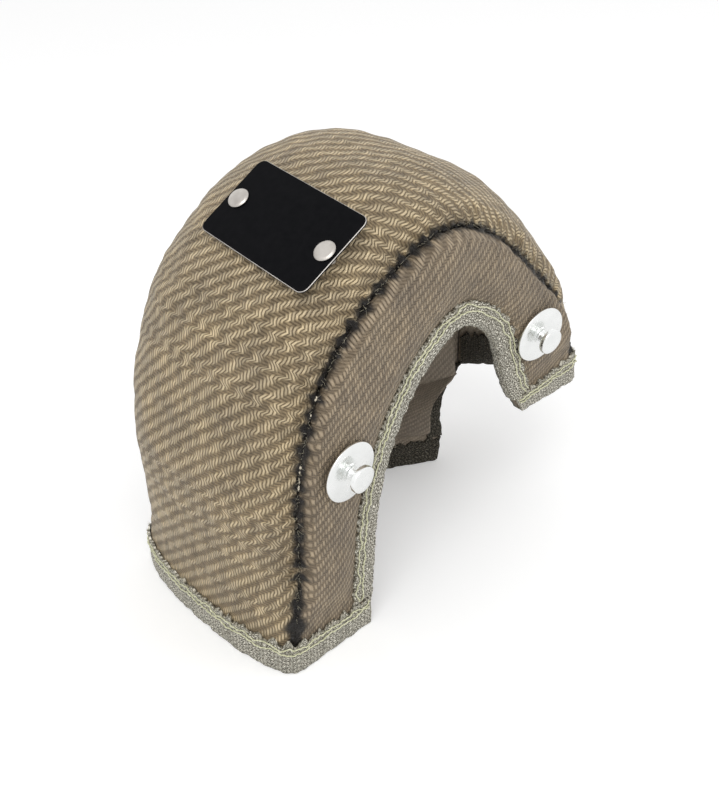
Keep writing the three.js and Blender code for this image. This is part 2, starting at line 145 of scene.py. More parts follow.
def station(run):
    # slices of the blanket at distances along the crown from the long leg's foot
    # past the crown's end they go straight on
    share = np.interp(run, crownRuns, crownSteps)
    past = np.maximum(run - crownLength, 0)[:, None]
    crown, cutout, rear = crownCurve(share), frontCutout(share), rearCutout(share)
    crown, cutout, rear = (place + np.array([0.05, 0, -1]) * past for place in (crown, cutout, rear))
    rear[:, 1] = rearDepth(rear[:, 0])
    endFade = smooth(0.7, 1, run / crownLength)
    footFade = smooth(0.2, 0, run / crownLength)
    return {
        "run": run, "crown": crown, "cutout": cutout, "rear": rear,
        "inward": unit(cutout - crown), "width": rearDepth(crown[:, 0]),
        "drop": between(between(blanket["shoulderDrop"], blanket["endShoulderDrop"], endFade),
                        blanket["footShoulderDrop"], footFade),
        "fill": smooth(0, blanket["pinchRun"], np.minimum(run, crownLength - run) - blanket["legHem"]),
        "flat": smooth(blanket["plateReach"], 0, np.abs(run - crownLength * blanket["plateAlong"])),
        "flapFill": (run > crownLength / 2).astype(float),
    }


def bandSkin(rows, v):
    # outer and inner face of the band: it drops off towards both seams by a power of v, from -1 at the front to 1
    half, fill = rows["width"][:, None] / 2, rows["fill"][:, None]
    side = between(blanket["hemThickness"], blanket["sideThickness"], fill)
    middle = between(blanket["hemThickness"], blanket["padThickness"], fill)
    corner = between(blanket["hemThickness"], blanket["cornerThickness"], fill)
    power = np.where(v < 0, between(blanket["shoulderPower"], blanket["flatPower"], rows["flat"][:, None]),
                     blanket["shoulderPower"])
    outerDepth = rows["drop"][:, None] * np.abs(v) ** power
    innerDepth = outerDepth + between(middle, corner, np.abs(v) ** blanket["innerPower"])
    outer = rows["crown"][:, None] + rows["inward"][:, None] * outerDepth[..., None]
    inner = rows["crown"][:, None] + rows["inward"][:, None] * innerDepth[..., None]
    outer[..., 1] = half + half * v
    inner[..., 1] = half + (half - side) * v
    return outer, inner


def panelSkin(edgeOuter, edgeInner, inside, facing, w, fill, flapFill):
    # outer and inner face of a side panel: straight from the edge to the cut-out
    # a hump between them dies at the hem
    length = np.linalg.norm(edgeOuter - inside, axis=-1)
    share = np.minimum(1, w / (1 - blanket["cutoutHem"] / length)[:, None])
    hump = np.clip(4 * share * (1 - share), 0, 1) ** blanket["humpPower"]
    rise = smooth(blanket["flapSideHem"], blanket["flapSideHem"] + blanket["flapRise"], w * length[:, None])
    reach = between(flapFill[:, None] * rise, 1, fill[:, None])
    outer = between(edgeOuter[:, None], inside[:, None], w[..., None])
    inner = between(edgeInner[:, None], inside[:, None], w[..., None])
    inner[..., 1] = outer[..., 1] - facing * between(
        blanket["hemThickness"], blanket["sideThickness"], reach * (1 - share ** 3))
    outer[..., 1] += facing * blanket["panelPuff"] * reach * hump
    return outer, inner


def slanted(run, v):
    # the short leg's end hangs lower at the rear: the run grows with v over the leg's last part
    run, v = np.broadcast_arrays(run, v)
    return run + blanket["endSlant"] * (v + 1) / 2 * smooth(blanket["slantStart"], 1, run / crownLength)


def bandGrid(run, v):
    # both faces of the band on a grid of runs and places across, with the slant of the short leg's end
    lean = slanted(run, v)
    flat = np.broadcast_to(v, lean.shape).reshape(-1, 1)
    at = station(lean.reshape(-1))
    at["fill"] = np.broadcast_to(station(run.reshape(-1))["fill"][:, None], lean.shape).reshape(-1)
    outer, inner = bandSkin(at, flat)
    return outer.reshape(lean.shape + (3,)), inner.reshape(lean.shape + (3,))


def rearStation(run):
    # the rear seam's slices, with the same slant
    at = station(slanted(run, 1.0))
    at["fill"], at["run"] = station(run)["fill"], run
    return at


def frontEdge(rows):
    edge = bandSkin(rows, np.array([[-1.0]]))
    return {"outer": edge[0][:, 0], "inner": edge[1][:, 0], "inside": rows["cutout"], "facing": -1,
            "fill": rows["fill"], "flapFill": np.zeros(len(rows["run"]))}


def rearEdge(rows, flapDown):
    # the rear panel's rows: first the band's rear seam, then the flap's free edge, down from the short leg's end
    rows = rearStation(rows["run"])
    edge = bandSkin(rows, np.array([[1.0]]))
    top = rearStation(np.array([crownLength]))
    corner = bandSkin(top, np.array([[1.0]]))[0][0, 0]
    at = flapCurve(flapDown)
    down, inset, lean = at[:, 0], at[:, 1], at[:, 2]
    flapOuter = np.stack([corner[0] - blanket["flapInset"] * inset, corner[1] - blanket["flapLean"] * lean,
                          corner[2] * (1 - down)], axis=-1)
    rearTop = top["rear"][0]
    flapInside = np.stack([np.full_like(down, rearTop[0]), rearTop[1] - blanket["flapLean"] * lean,
                           rearTop[2] * (1 - down)], axis=-1)
    flapInner = flapOuter - np.array([0, blanket["hemThickness"], 0])
    return {
        "outer": np.vstack([edge[0][:, 0], flapOuter]), "inner": np.vstack([edge[1][:, 0], flapInner]),
        "inside": np.vstack([rows["rear"], flapInside]), "facing": 1,
        "fill": np.concatenate([rows["fill"], np.zeros(len(down))]),
        "flapFill": np.concatenate([rows["flapFill"],
                                    smooth(0, 8, flapOuter[:, 2] - blanket["flapHem"])]),
    }


def panelFaces(edge, w):
    return panelSkin(edge["outer"], edge["inner"], edge["inside"], edge["facing"], w,
                     edge["fill"], edge["flapFill"])


def ripple(places, wavelength, seed, count=14):
    # a smooth random field from -1 to 1: a sum of plane waves in seeded directions, near one wavelength
    rng = np.random.default_rng(seed)
    waves = unit(rng.normal(size=(count, places.shape[-1]))) * (
        2 * math.pi / (wavelength * rng.uniform(0.7, 1.5, count)))[:, None]
    phases = rng.uniform(0, 2 * math.pi, count)
    return np.sin(places @ waves.T + phases).sum(axis=-1) / math.sqrt(count / 2) / 1.6


def measure(points, axis):
    # running length along one axis of a grid
    steps = np.linalg.norm(np.diff(points, axis=axis), axis=-1)
    pad = [(0, 0), (0, 0)]
    pad[axis] = (1, 0)
    return np.cumsum(np.pad(steps, pad), axis=axis)


def makeMesh(name, points, quads, clothPlace=None, extraFaces=(), flip=None, sharp=None):
    quads = np.asarray(quads)
    a, b, c, d = (points[quads[:, k]] for k in range(4))
    volume = np.einsum("ij,ij->i", a, np.cross(b, c)).sum() + np.einsum("ij,ij->i", a, np.cross(c, d)).sum()
    turnRound = volume < 0 if flip is None else flip
    faces = quads[:, ::-1] if turnRound else quads
    mesh = bpy.data.meshes.new(name)
    shift = np.array(blanket["shift"])
    loose = [tuple(face)[::-1] if turnRound else tuple(face) for face in extraFaces]
    mesh.from_pydata(((points + shift) / 1000).tolist(), [], faces.tolist() + loose)
    if clothPlace is not None:
        layer = mesh.uv_layers.new(name="clothPlace")
        corners = np.zeros(len(mesh.loops), dtype=np.int32)
        mesh.loops.foreach_get("vertex_index", corners)
        layer.data.foreach_set("uv", clothPlace[corners].astype(np.float32).ravel())
    mesh.polygons.foreach_set("use_smooth", np.ones(len(mesh.polygons), dtype=bool))
    if sharp:
        mesh.set_sharp_from_angle(angle=math.radians(sharp))
    mesh.update()
    piece = bpy.data.objects.new(name, mesh)
    bpy.context.scene.collection.objects.link(piece)
    return piece


def wallQuads(rows, around):
    # the faces between rows of closed rings
    i, j = np.meshgrid(np.arange(rows - 1), np.arange(around), indexing="ij")
    k = (j + 1) % around
    corners = [i * around + j, i * around + k, (i + 1) * around + k, (i + 1) * around + j]
    return np.stack(corners, axis=-1).reshape(-1, 4)


def ringQuads(rows, around):
    # the walls, and flat caps that pair each ring's halves at both ends
    half = np.arange(around // 2 - 1)
    start = np.stack([half, around - 1 - half, around - 2 - half, half + 1], axis=-1)
    end = (rows - 1) * around + np.stack([half, half + 1, around - 2 - half, around - 1 - half], axis=-1)
    return np.vstack([wallQuads(rows, around), start, end])


def closedSheet(name, outer, inner, place, sharp=None, shade=None):
    # a cloth ply as one closed body: the outer face, and the inner one carried back round
    rings = np.concatenate([outer, inner[:, ::-1]], axis=1)
    places = np.concatenate([place, place[:, ::-1]], axis=1)
    rows, around = rings.shape[:2]
    piece = makeMesh(name, rings.reshape(-1, 3), ringQuads(rows, around), places.reshape(-1, 2), sharp=sharp)
    if shade is not None:
        depth = piece.data.attributes.new("seamShade", "FLOAT", "POINT")
        shades = np.concatenate([shade, shade[:, ::-1]], axis=1)
        depth.data.foreach_set("value", shades.astype(np.float32).ravel())
    return piece


def tubes(name, paths, radius, sides, taper=None):
    # round threads along paths of shape (count, samples, 3): each ring stands square to the path's own direction
    count, samples = paths.shape[:2]
    ahead = unit(np.gradient(paths, axis=1))
    aside = unit(np.cross(ahead, np.array([0.31, 0.52, 0.79])))
    upward = np.cross(ahead, aside)
    turn = np.linspace(0, 2 * math.pi, sides, endpoint=False)
    size = np.broadcast_to(np.asarray(radius, float), (count, samples)) if taper is None else radius * taper[None]
    ring = (np.cos(turn)[:, None] * aside[:, :, None] + np.sin(turn)[:, None] * upward[:, :, None])
    points = paths[:, :, None] + ring * np.broadcast_to(size, (count, samples))[:, :, None, None]
    c, i, j = np.meshgrid(np.arange(count), np.arange(samples - 1), np.arange(sides), indexing="ij")
    base, k = c * samples * sides, (j + 1) % sides
    quads = np.stack([base + i * sides + j, base + i * sides + k, base + (i + 1) * sides + k,
                      base + (i + 1) * sides + j], axis=-1).reshape(-1, 4)
    starts = (np.arange(count)[:, None] * samples * sides + np.arange(sides)[::-1]).tolist()
    ends = (np.arange(count)[:, None] * samples * sides + (samples - 1) * sides + np.arange(sides)).tolist()
    return makeMesh(name, points.reshape(-1, 3), quads, extraFaces=starts + ends)


def finishPiece(piece, material, replaced=()):
    piece.data.materials.append(material)
    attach(piece, "root")
    if replaced:
        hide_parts(*replaced)
    return piece


def newGroup(name, inputs, outputs):
    group = bpy.data.node_groups.new(name, "ShaderNodeTree")
    for label, kind, value in inputs:
        socket = group.interface.new_socket(label, in_out="INPUT", socket_type=kind)
        if value is not None:
            socket.default_value = value
    for label, kind in outputs:
        group.interface.new_socket(label, in_out="OUTPUT", socket_type=kind)
    start = group.nodes.new("NodeGroupInput")
    end = group.nodes.new("NodeGroupOutput")
    return group, start, end


def wire(tree, source, target):
    # source is a socket, or a plain number that stays on the target's own socket
    if isinstance(source, bpy.types.NodeSocket):
        tree.links.new(source, target)
    else:
        target.default_value = source


def sums(tree, operation, *values, clamp=False):
    node = tree.nodes.new("ShaderNodeMath")
    node.operation = operation
    node.use_clamp = clamp
    for value, socket in zip(values, node.inputs):
        wire(tree, value, socket)
    return node.outputs[0]


def noiseAt(tree, place, scale, detail=2.0, roughness=0.5):
    node = tree.nodes.new("ShaderNodeTexNoise")
    node.inputs["Scale"].default_value = scale
    node.inputs["Detail"].default_value = detail
    node.inputs["Roughness"].default_value = roughness
    wire(tree, place, node.inputs["Vector"])
    return node


def vectorMath(tree, operation, first, second):
    node = tree.nodes.new("ShaderNodeVectorMath")
    node.operation = operation
    wire(tree, first, node.inputs[0])
    wire(tree, second, node.inputs["Scale" if operation == "SCALE" else 1])
    return node.outputs[0]


def wandered(group, place, scale, detail, middle, reach):
    # the place moved by a noise's colour, counted from its middle, times the reach
    drift = vectorMath(group, "SUBTRACT", noiseAt(group, place, scale, detail).outputs["Color"], (middle,) * 3)
    placed = vectorMath(group, "ADD", place, vectorMath(group, "SCALE", drift, reach))
    parts = group.nodes.new("ShaderNodeSeparateXYZ")
    group.links.new(placed, parts.inputs[0])
    return placed, parts


def rounded(tree, value, power, clamp=False):
    # a yarn's section: 1 less the doubled distance from its middle, raised to a power
    far = sums(tree, "ABSOLUTE", sums(tree, "MULTIPLY", value, 2.0))
    return sums(tree, "SUBTRACT", 1.0, sums(tree, "POWER", far, power), clamp=clamp)


def makeTwill():
    # twill cloth: warp floats stepped one pick up from each end to the next, so that ridges rise to the right
    group, start, end = newGroup("twillWeave", [
        ("Place", "NodeSocketVector", None), ("Warp Pitch", "NodeSocketFloat", 1.9),
        ("Weft Pitch", "NodeSocketFloat", 1.25), ("Repeat", "NodeSocketFloat", 4.0),
        ("Float Share", "NodeSocketFloat", 0.62), ("Wander", "NodeSocketFloat", 0.5),
    ], [("Height", "NodeSocketFloat"), ("Tone", "NodeSocketFloat"), ("Yarn", "NodeSocketFloat")])
    reach = sums(group, "MULTIPLY", start.outputs["Wander"], 6.0)
    placed, parts = wandered(group, start.outputs["Place"], 0.06, 0.5, 0.5, reach)
    across = sums(group, "DIVIDE", parts.outputs[0], start.outputs["Warp Pitch"])
    along = sums(group, "DIVIDE", parts.outputs[1], start.outputs["Weft Pitch"])
    column = sums(group, "FLOOR", across)
    x = sums(group, "SUBTRACT", sums(group, "SUBTRACT", across, column), 0.5)
    stepped = sums(group, "DIVIDE", sums(group, "SUBTRACT", along, column), start.outputs["Repeat"])
    cell = sums(group, "FLOOR", stepped)
    phase = sums(group, "SUBTRACT", stepped, cell)
    run = sums(group, "SUBTRACT", sums(group, "DIVIDE", phase, start.outputs["Float Share"]), 0.5)
    warp = sums(group, "MULTIPLY", rounded(group, x, 4.0), rounded(group, run, 4.0, clamp=True))
    pick = sums(group, "SUBTRACT", sums(group, "FRACT", along), 0.5)
    weft = sums(group, "MULTIPLY", rounded(group, pick, 2.0), 0.42)
    group.links.new(sums(group, "MAXIMUM", warp, weft), end.inputs["Height"])
    cellPlace = group.nodes.new("ShaderNodeCombineXYZ")
    group.links.new(column, cellPlace.inputs[0])
    group.links.new(cell, cellPlace.inputs[1])
    chance = group.nodes.new("ShaderNodeTexWhiteNoise")
    chance.noise_dimensions = "2D"
    group.links.new(cellPlace.outputs[0], chance.inputs["Vector"])
    group.links.new(chance.outputs["Value"], end.inputs["Tone"])
    streak = noiseAt(group, vectorMath(group, "MULTIPLY", placed, (5.0, 0.7, 1.0)), 1.0, 2.0)
    group.links.new(streak.outputs["Fac"], end.inputs["Yarn"])
    return group


def makeKnit():
    # knitted tape: rows of V-shaped loops, each V the fold of a stripe about its column's middle
    group, start, end = newGroup("knitLoops", [
        ("Place", "NodeSocketVector", None), ("Column", "NodeSocketFloat", 2.3),
        ("Course", "NodeSocketFloat", 1.7), ("Wander", "NodeSocketFloat", 1.2),
    ], [("Height", "NodeSocketFloat"), ("Tone", "NodeSocketFloat")])
    reach = sums(group, "MULTIPLY", start.outputs["Wander"], 2.0)
    placed, parts = wandered(group, start.outputs["Place"], 0.28, 2.0, 0.0, reach)
    across = sums(group, "DIVIDE", parts.outputs[0], start.outputs["Column"])
    along = sums(group, "DIVIDE", parts.outputs[1], start.outputs["Course"])
    x = sums(group, "ABSOLUTE", sums(group, "SUBTRACT", sums(group, "FRACT", across), 0.5))
    folded = sums(group, "FRACT", sums(group, "ADD", along, sums(group, "MULTIPLY", x, 1.6)))
    loop = rounded(group, sums(group, "SUBTRACT", folded, 0.5), 1.5)
    gap = rounded(group, sums(group, "MULTIPLY", sums(group, "SUBTRACT", x, 0.25), 2.0), 3.0, clamp=True)
    group.links.new(sums(group, "MULTIPLY", loop, gap), end.inputs["Height"])
    speck = noiseAt(group, placed, 1.1, 3.0, 0.7)
    group.links.new(speck.outputs["Fac"], end.inputs["Tone"])
    return group


twillGroup = makeTwill()
knitGroup = makeKnit()


def rampOf(tree, source, stops):
    node = tree.nodes.new("ShaderNodeValToRGB")
    wire(tree, source, node.inputs["Fac"])
    elements = node.color_ramp.elements
    for place, colour in stops[1:-1]:
        elements.new(place)
    for element, (place, colour) in zip(elements, stops):
        element.position = place
        element.color = (*colour, 1)
    return node.outputs["Color"]


def mixOf(tree, kind, factor, first, second):
    node = tree.nodes.new("ShaderNodeMix")
    node.data_type = "RGBA"
    node.blend_type = kind
    wire(tree, factor, node.inputs[0])
    for value, socket in ((first, node.inputs[6]), (second, node.inputs[7])):
        if isinstance(value, tuple):
            socket.default_value = (*value, 1)
        else:
            tree.links.new(value, socket)
    return node.outputs[2]


def bareMaterial(name):
    material = bpy.data.materials.new(name)
    material.use_nodes = True
    return material, material.node_tree, material.node_tree.nodes["Principled BSDF"]


def clothUv(tree):
    uv = tree.nodes.new("ShaderNodeUVMap")
    uv.uv_map = "clothPlace"
    return uv.outputs["UV"]


def bumpOf(tree, height, distance, strength):
    bump = tree.nodes.new("ShaderNodeBump")
    bump.inputs["Distance"].default_value = distance
    bump.inputs["Strength"].default_value = strength
    tree.links.new(height, bump.inputs["Height"])
    return bump.outputs["Normal"]


def groupIn(tree, group, place, values):
    node = tree.nodes.new("ShaderNodeGroup")
    node.node_tree = group
    tree.links.new(place, node.inputs["Place"])
    for label, value in values.items():
        node.inputs[label].default_value = value
    return node


def makeCloth(name, look):
    # woven cloth: painted shade dark between the yarns, a golden cast on the floats with a painted highlight
    # (shine) on their tops, patches of duller and brighter cloth
    material, tree, shader = bareMaterial(name)
    place = clothUv(tree)
    twill = groupIn(tree, twillGroup, place, look["weave"])
    height = twill.outputs["Height"]
    colour = rampOf(tree, height, [
        (0.0, look["pit"]), (0.45, look["weft"]), (0.8, look["warp"]), (1.0, look["shine"])])
    colour = mixOf(tree, "MULTIPLY", look["toneMix"], colour, rampOf(
        tree, twill.outputs["Tone"], [(0.0, (0.7, 0.68, 0.66)), (1.0, (1.3, 1.28, 1.24))]))
    colour = mixOf(tree, "MULTIPLY", 0.5, colour, rampOf(
        tree, twill.outputs["Yarn"], [(0.3, (0.7, 0.7, 0.7)), (0.7, (1.3, 1.28, 1.22))]))
    patch = noiseAt(tree, place, 0.045, 3.0, 0.6)
    colour = mixOf(tree, "MULTIPLY", look["patchMix"], colour, rampOf(
        tree, patch.outputs["Fac"], [(0.3, (0.8, 0.8, 0.82)), (0.7, (1.2, 1.18, 1.12))]))
    # painted shade: the seamShade attribute mixes the cloth towards near black at the seam's bottom
    deep = tree.nodes.new("ShaderNodeAttribute")
    deep.attribute_name = "seamShade"
    colour = mixOf(tree, "MIX", deep.outputs["Fac"], colour, (0.006, 0.004, 0.003))
    tree.links.new(colour, shader.inputs["Base Color"])
    rough = sums(tree, "SUBTRACT", look["roughness"], sums(tree, "MULTIPLY", height, look["polish"]))
    tree.links.new(rough, shader.inputs["Roughness"])
    shader.inputs["Metallic"].default_value = look["metallic"]
    shader.inputs["Sheen Weight"].default_value = look["sheen"]
    shader.inputs["Sheen Roughness"].default_value = 0.4
    shader.inputs["Sheen Tint"].default_value = (1.0, 0.93, 0.8, 1)
    relief = sums(tree, "ADD", height, sums(tree, "MULTIPLY", twill.outputs["Yarn"], 0.35))
    tree.links.new(bumpOf(tree, relief, look["relief"], 1.0), shader.inputs["Normal"])
    return material


clothLooks = {
    "band": {
        "weave": {"Warp Pitch": 1.6, "Weft Pitch": 1.5, "Repeat": 5.2, "Float Share": 0.76, "Wander": 0.16},
        "pit": (0.12, 0.088, 0.05), "weft": (0.25, 0.192, 0.115), "warp": (0.385, 0.306, 0.192),
        "shine": (0.56, 0.465, 0.315),
        "toneMix": 0.75, "patchMix": 0.9, "roughness": 0.56, "polish": 0.22, "metallic": 0.2, "sheen": 0.08,
        "relief": 0.0010,
    },
    # the side panels: the band's own twill given darker colours as painted shade, with a duller finish
    "side": {
        "weave": {"Warp Pitch": 1.45, "Weft Pitch": 1.1, "Repeat": 4.5, "Float Share": 0.76, "Wander": 0.2},
        "pit": (0.13, 0.1, 0.068), "weft": (0.2, 0.157, 0.108), "warp": (0.272, 0.216, 0.152),
        "shine": (0.35, 0.284, 0.205),
        "toneMix": 0.7, "patchMix": 0.8, "roughness": 0.68, "polish": 0.15, "metallic": 0.08, "sheen": 0.1,
        "relief": 0.0008,
    },
    "liner": {
        "weave": {"Warp Pitch": 1.4, "Weft Pitch": 1.0, "Repeat": 4.0, "Float Share": 0.7, "Wander": 0.4},
        "pit": (0.17, 0.14, 0.108), "weft": (0.22, 0.183, 0.142), "warp": (0.25, 0.21, 0.165),
        "shine": (0.28, 0.235, 0.187),
        "toneMix": 0.3, "patchMix": 0.5, "roughness": 0.78, "polish": 0.08, "metallic": 0.04, "sheen": 0.08,
        "relief": 0.0002,
    },
}
bandCloth = makeCloth("bronzeTwill", clothLooks["band"])
# the side panels' cloth is a darker copy of the band's twill: painted shade
sideCloth = makeCloth("shadedSideTwill", clothLooks["side"])
linerCloth = makeCloth("taupeLiner", clothLooks["liner"])


def makeTapeFinish():
    # knitted wire and yarn: grey-green loops with painted pale highlights on their tops and painted shade in the
    # dark holes between
    material, tree, shader = bareMaterial("knittedTape")
    knit = groupIn(tree, knitGroup, clothUv(tree), {"Column": 2.9, "Course": 2.1, "Wander": 1.2})
    colour = rampOf(tree, knit.outputs["Height"], [
        (0.0, (0.07, 0.062, 0.047)), (0.25, (0.3, 0.28, 0.225)), (0.6, (0.66, 0.63, 0.55)),
        (1.0, (0.9, 0.87, 0.79))])
    colour = mixOf(tree, "MULTIPLY", 0.9, colour, rampOf(
        tree, knit.outputs["Tone"], [(0.32, (0.62, 0.62, 0.58)), (0.68, (1.38, 1.37, 1.33))]))
    # painted shade: the seamShade attribute darkens the tape's inner face and the tapes that lie in shade
    hidden = tree.nodes.new("ShaderNodeAttribute")
    hidden.attribute_name = "seamShade"
    colour = mixOf(tree, "MIX", hidden.outputs["Fac"], colour, mixOf(
        tree, "MULTIPLY", 1.0, colour, (0.16, 0.15, 0.13)))
    tree.links.new(colour, shader.inputs["Base Color"])
    shader.inputs["Metallic"].default_value = 0.25
    shader.inputs["Roughness"].default_value = 0.5
    tree.links.new(bumpOf(tree, knit.outputs["Height"], 0.001, 1.0), shader.inputs["Normal"])
    return material


def makeThreadFinish(name, low, high):
    material, tree, shader = bareMaterial(name)
    place = tree.nodes.new("ShaderNodeTexCoord").outputs["Object"]
    twist = noiseAt(tree, place, 900.0, 2.0)
    tree.links.new(rampOf(tree, twist.outputs["Fac"], [(0.35, low), (0.65, high)]), shader.inputs["Base Color"])
    shader.inputs["Roughness"].default_value = 0.55
    shader.inputs["Sheen Weight"].default_value = 0.3
    tree.links.new(bumpOf(tree, twist.outputs["Fac"], 0.0003, 0.6), shader.inputs["Normal"])
    return material


def makeSteel(name, low, high, polished, dull):
    # steel with faint brush marks, and smudges in its colour and roughness
    material, tree, shader = bareMaterial(name)
    place = tree.nodes.new("ShaderNodeTexCoord").outputs["Object"]
    smudge = noiseAt(tree, place, 120.0, 4.0, 0.6)
    tree.links.new(rampOf(tree, smudge.outputs["Fac"], [(0.3, low), (0.7, high)]),
                   shader.inputs["Base Color"])
    shader.inputs["Metallic"].default_value = 1.0
    rough = rampOf(tree, smudge.outputs["Fac"], [(0.3, (polished,) * 3), (0.75, (dull,) * 3)])
    tree.links.new(rough, shader.inputs["Roughness"])
    grain = noiseAt(tree, place, 2500.0, 2.0)
    tree.links.new(bumpOf(tree, grain.outputs["Fac"], 0.00002, 0.5), shader.inputs["Normal"])
    return material


def makePlateFinish():
    # black anodised sheet with a satin grain, fine handling marks, and its cut edge left bright
    material, tree, shader = bareMaterial("blackPlate")
    place = tree.nodes.new("ShaderNodeTexCoord").outputs["Object"]
    marks = noiseAt(tree, place, 260.0, 5.0, 0.65)
    black = rampOf(tree, marks.outputs["Fac"], [(0.3, (0.002, 0.0022, 0.003)), (0.8, (0.005, 0.005, 0.006))])
    tree.links.new(black, shader.inputs["Base Color"])
    shader.inputs["Specular IOR Level"].default_value = 0.04
    rough = rampOf(tree, marks.outputs["Fac"], [(0.3, (0.3, 0.3, 0.3)), (0.75, (0.42, 0.42, 0.42))])
    tree.links.new(rough, shader.inputs["Roughness"])
    tree.links.new(bumpOf(tree, marks.outputs["Fac"], 0.00003, 0.4), shader.inputs["Normal"])
    return material


def makeBatting():
    material, tree, shader = bareMaterial("whiteWool")
    place = tree.nodes.new("ShaderNodeTexCoord").outputs["Object"]
    fluff = noiseAt(tree, place, 400.0, 5.0, 0.7)
    tree.links.new(rampOf(tree, fluff.outputs["Fac"], [(0.3, (0.6, 0.57, 0.5)), (0.7, (0.82, 0.8, 0.74))]),
                   shader.inputs["Base Color"])
    shader.inputs["Roughness"].default_value = 0.95
    tree.links.new(bumpOf(tree, fluff.outputs["Fac"], 0.001, 0.8), shader.inputs["Normal"])
    return material


tapeFinish = makeTapeFinish()
paleThread = makeThreadFinish("paleThread", (0.5, 0.5, 0.3), (0.78, 0.77, 0.55))
creamThread = makeThreadFinish("creamThread", (0.55, 0.48, 0.36), (0.85, 0.78, 0.64))
frayedYarn = makeThreadFinish("frayedYarn", (0.3, 0.27, 0.18), (0.6, 0.55, 0.4))
steel = makeSteel("polishedSteel", (0.88, 0.89, 0.88), (0.95, 0.96, 0.95), 0.17, 0.3)
rivetMetal = makeSteel("satinRivet", (0.46, 0.43, 0.4), (0.68, 0.65, 0.61), 0.38, 0.55)
plateFinish = makePlateFinish()
batting = makeBatting()
print("materials made")


# the shells, in millimetres: the seam's groove, lips and puckers, and the swells of the pad
shells = {
    "grooveDepth": 6.2, "hemGroove": 2.2, "lip": 7.5, "lipPull": 0.5, "lipSteps": 12, "shadeReach": 5.5,
    "pucker": 0.8, "seamPucker": 0.9, "puckerWave": 7.0, "puckerReach": 7.0,
    "swell": 0.7, "swellWave": 46.0, "crease": 0.35, "creaseWave": 15.0,
    "rowStep": 1.7, "columnStep": 2.0,
}


def seamBottom(rows, side):
    # where the band's and the panel's lips meet: in from the corner, towards both the cut-out and the middle
    rows = rearStation(rows["run"]) if side > 0 else rows
    corner = bandSkin(rows, np.array([[float(side)]]))[0][:, 0]
    depth = between(shells["hemGroove"], shells["grooveDepth"], rows["fill"])
    depth = depth * (1 + 0.22 * ripple(rows["run"][:, None], shells["puckerWave"], 31 + side))
    return corner, corner + (rows["inward"] + np.array([0, -side, 0])) * depth[:, None]


def lipCurve(start, corner, bottom, steps):
    # a rounded lip: a quadratic curve from the flat cloth, pulled to the corner, down to the seam
    t = np.linspace(0, 1, steps + 1)[1:][None, :, None]
    corner = between(corner, bottom, shells["lipPull"])
    return start[:, None] * (1 - t) ** 2 + corner[:, None] * 2 * t * (1 - t) + bottom[:, None] * t ** 2


def seamShade(fromSeam, seed=0):
    # 1 at the seam's bottom, where the cloth turns in and no light reaches
    # it falls to 0 a little way out, with a ragged rim
    ragged = 1 + 0.2 * ripple(np.arange(len(fromSeam))[:, None, None] * shells["rowStep"], 11.0, 90 + seed)
    return 1 - smooth(shells["shadeReach"] * 0.6, shells["shadeReach"] * 1.25, fromSeam / ragged)


def gridNormals(points):
    return unit(np.cross(np.gradient(points, axis=0), np.gradient(points, axis=1)))


def roughen(points, seamDistance, outward, strength=1.0, seed=3):
    # soft swells over the pad, small creases, and puckers that die away from the seam
    normal = gridNormals(points)
    normal = normal * np.sign((normal * outward).sum(axis=-1, keepdims=True))
    near = np.exp(-seamDistance / shells["puckerReach"])
    move = (shells["swell"] * ripple(points, shells["swellWave"], seed)
            + shells["crease"] * ripple(points, shells["creaseWave"], seed + 1)
            + shells["pucker"] * near * ripple(points, shells["puckerWave"], seed + 2)) * strength
    move = move + shells["seamPucker"] * near * smooth(0.5, 3, seamDistance) * ripple(
        np.arange(len(points))[:, None, None] * shells["rowStep"], shells["puckerWave"] * 1.3, seed + 4)
    return points + normal * move[..., None]


runs = np.linspace(0, crownLength, int(crownLength / shells["rowStep"]) + 1)
rows = station(runs)
half = rows["width"][:, None] / 2
flatColumns = 2 * int(blanket["footWidth"] / 2 / shells["columnStep"]) + 1


def bandFaces(trim):
    return bandGrid(runs[:, None], np.linspace(-1, 1, flatColumns)[None] * trim)


# the shell of the band: the middle, then a lip down to the seam on both sides
middleOuter = bandFaces(1 - shells["lip"] / half)[0]
frontCorner, frontBottom = seamBottom(rows, -1)
rearCorner, rearBottom = seamBottom(rows, 1)
frontLip = lipCurve(middleOuter[:, 0], frontCorner, frontBottom, shells["lipSteps"])[:, ::-1]
rearLip = lipCurve(middleOuter[:, -1], rearCorner, rearBottom, shells["lipSteps"])
bandOuter = np.concatenate([frontLip, middleOuter, rearLip], axis=1)
bandAcross = measure(bandOuter, 1)
bandFromSeam = np.minimum(bandAcross, bandAcross[:, -1:] - bandAcross)
hemFade = np.minimum(1, 0.25 + rows["fill"])[:, None]
plateMiddle = station(np.array([crownLength * blanket["plateAlong"]]))["crown"][0] + np.array([0, 46, 0])
plateCalm = 1 - 0.85 * smooth(55, 25, np.linalg.norm(bandOuter - plateMiddle, axis=-1))
seamEase = np.minimum(1, bandFromSeam / 3)
bandOuter = roughen(bandOuter, bandFromSeam, -rows["inward"][:, None], hemFade * plateCalm * seamEase)
bandPlace = np.stack([bandAcross[:, -1:] / 2 - bandAcross,
                      np.broadcast_to(runs[:, None], bandAcross.shape)], axis=-1)
bandUnder = gridNormals(bandOuter)
bandUnder = bandUnder * -np.sign((bandUnder * -rows["inward"][:, None]).sum(axis=-1, keepdims=True))
bandBack = bandOuter + bandUnder * blanket["shellPly"]
bandShell = closedSheet("bandShell", bandOuter, bandBack, bandPlace, shade=seamShade(bandFromSeam))
finishPiece(bandShell, bandCloth, ["outer_band"])


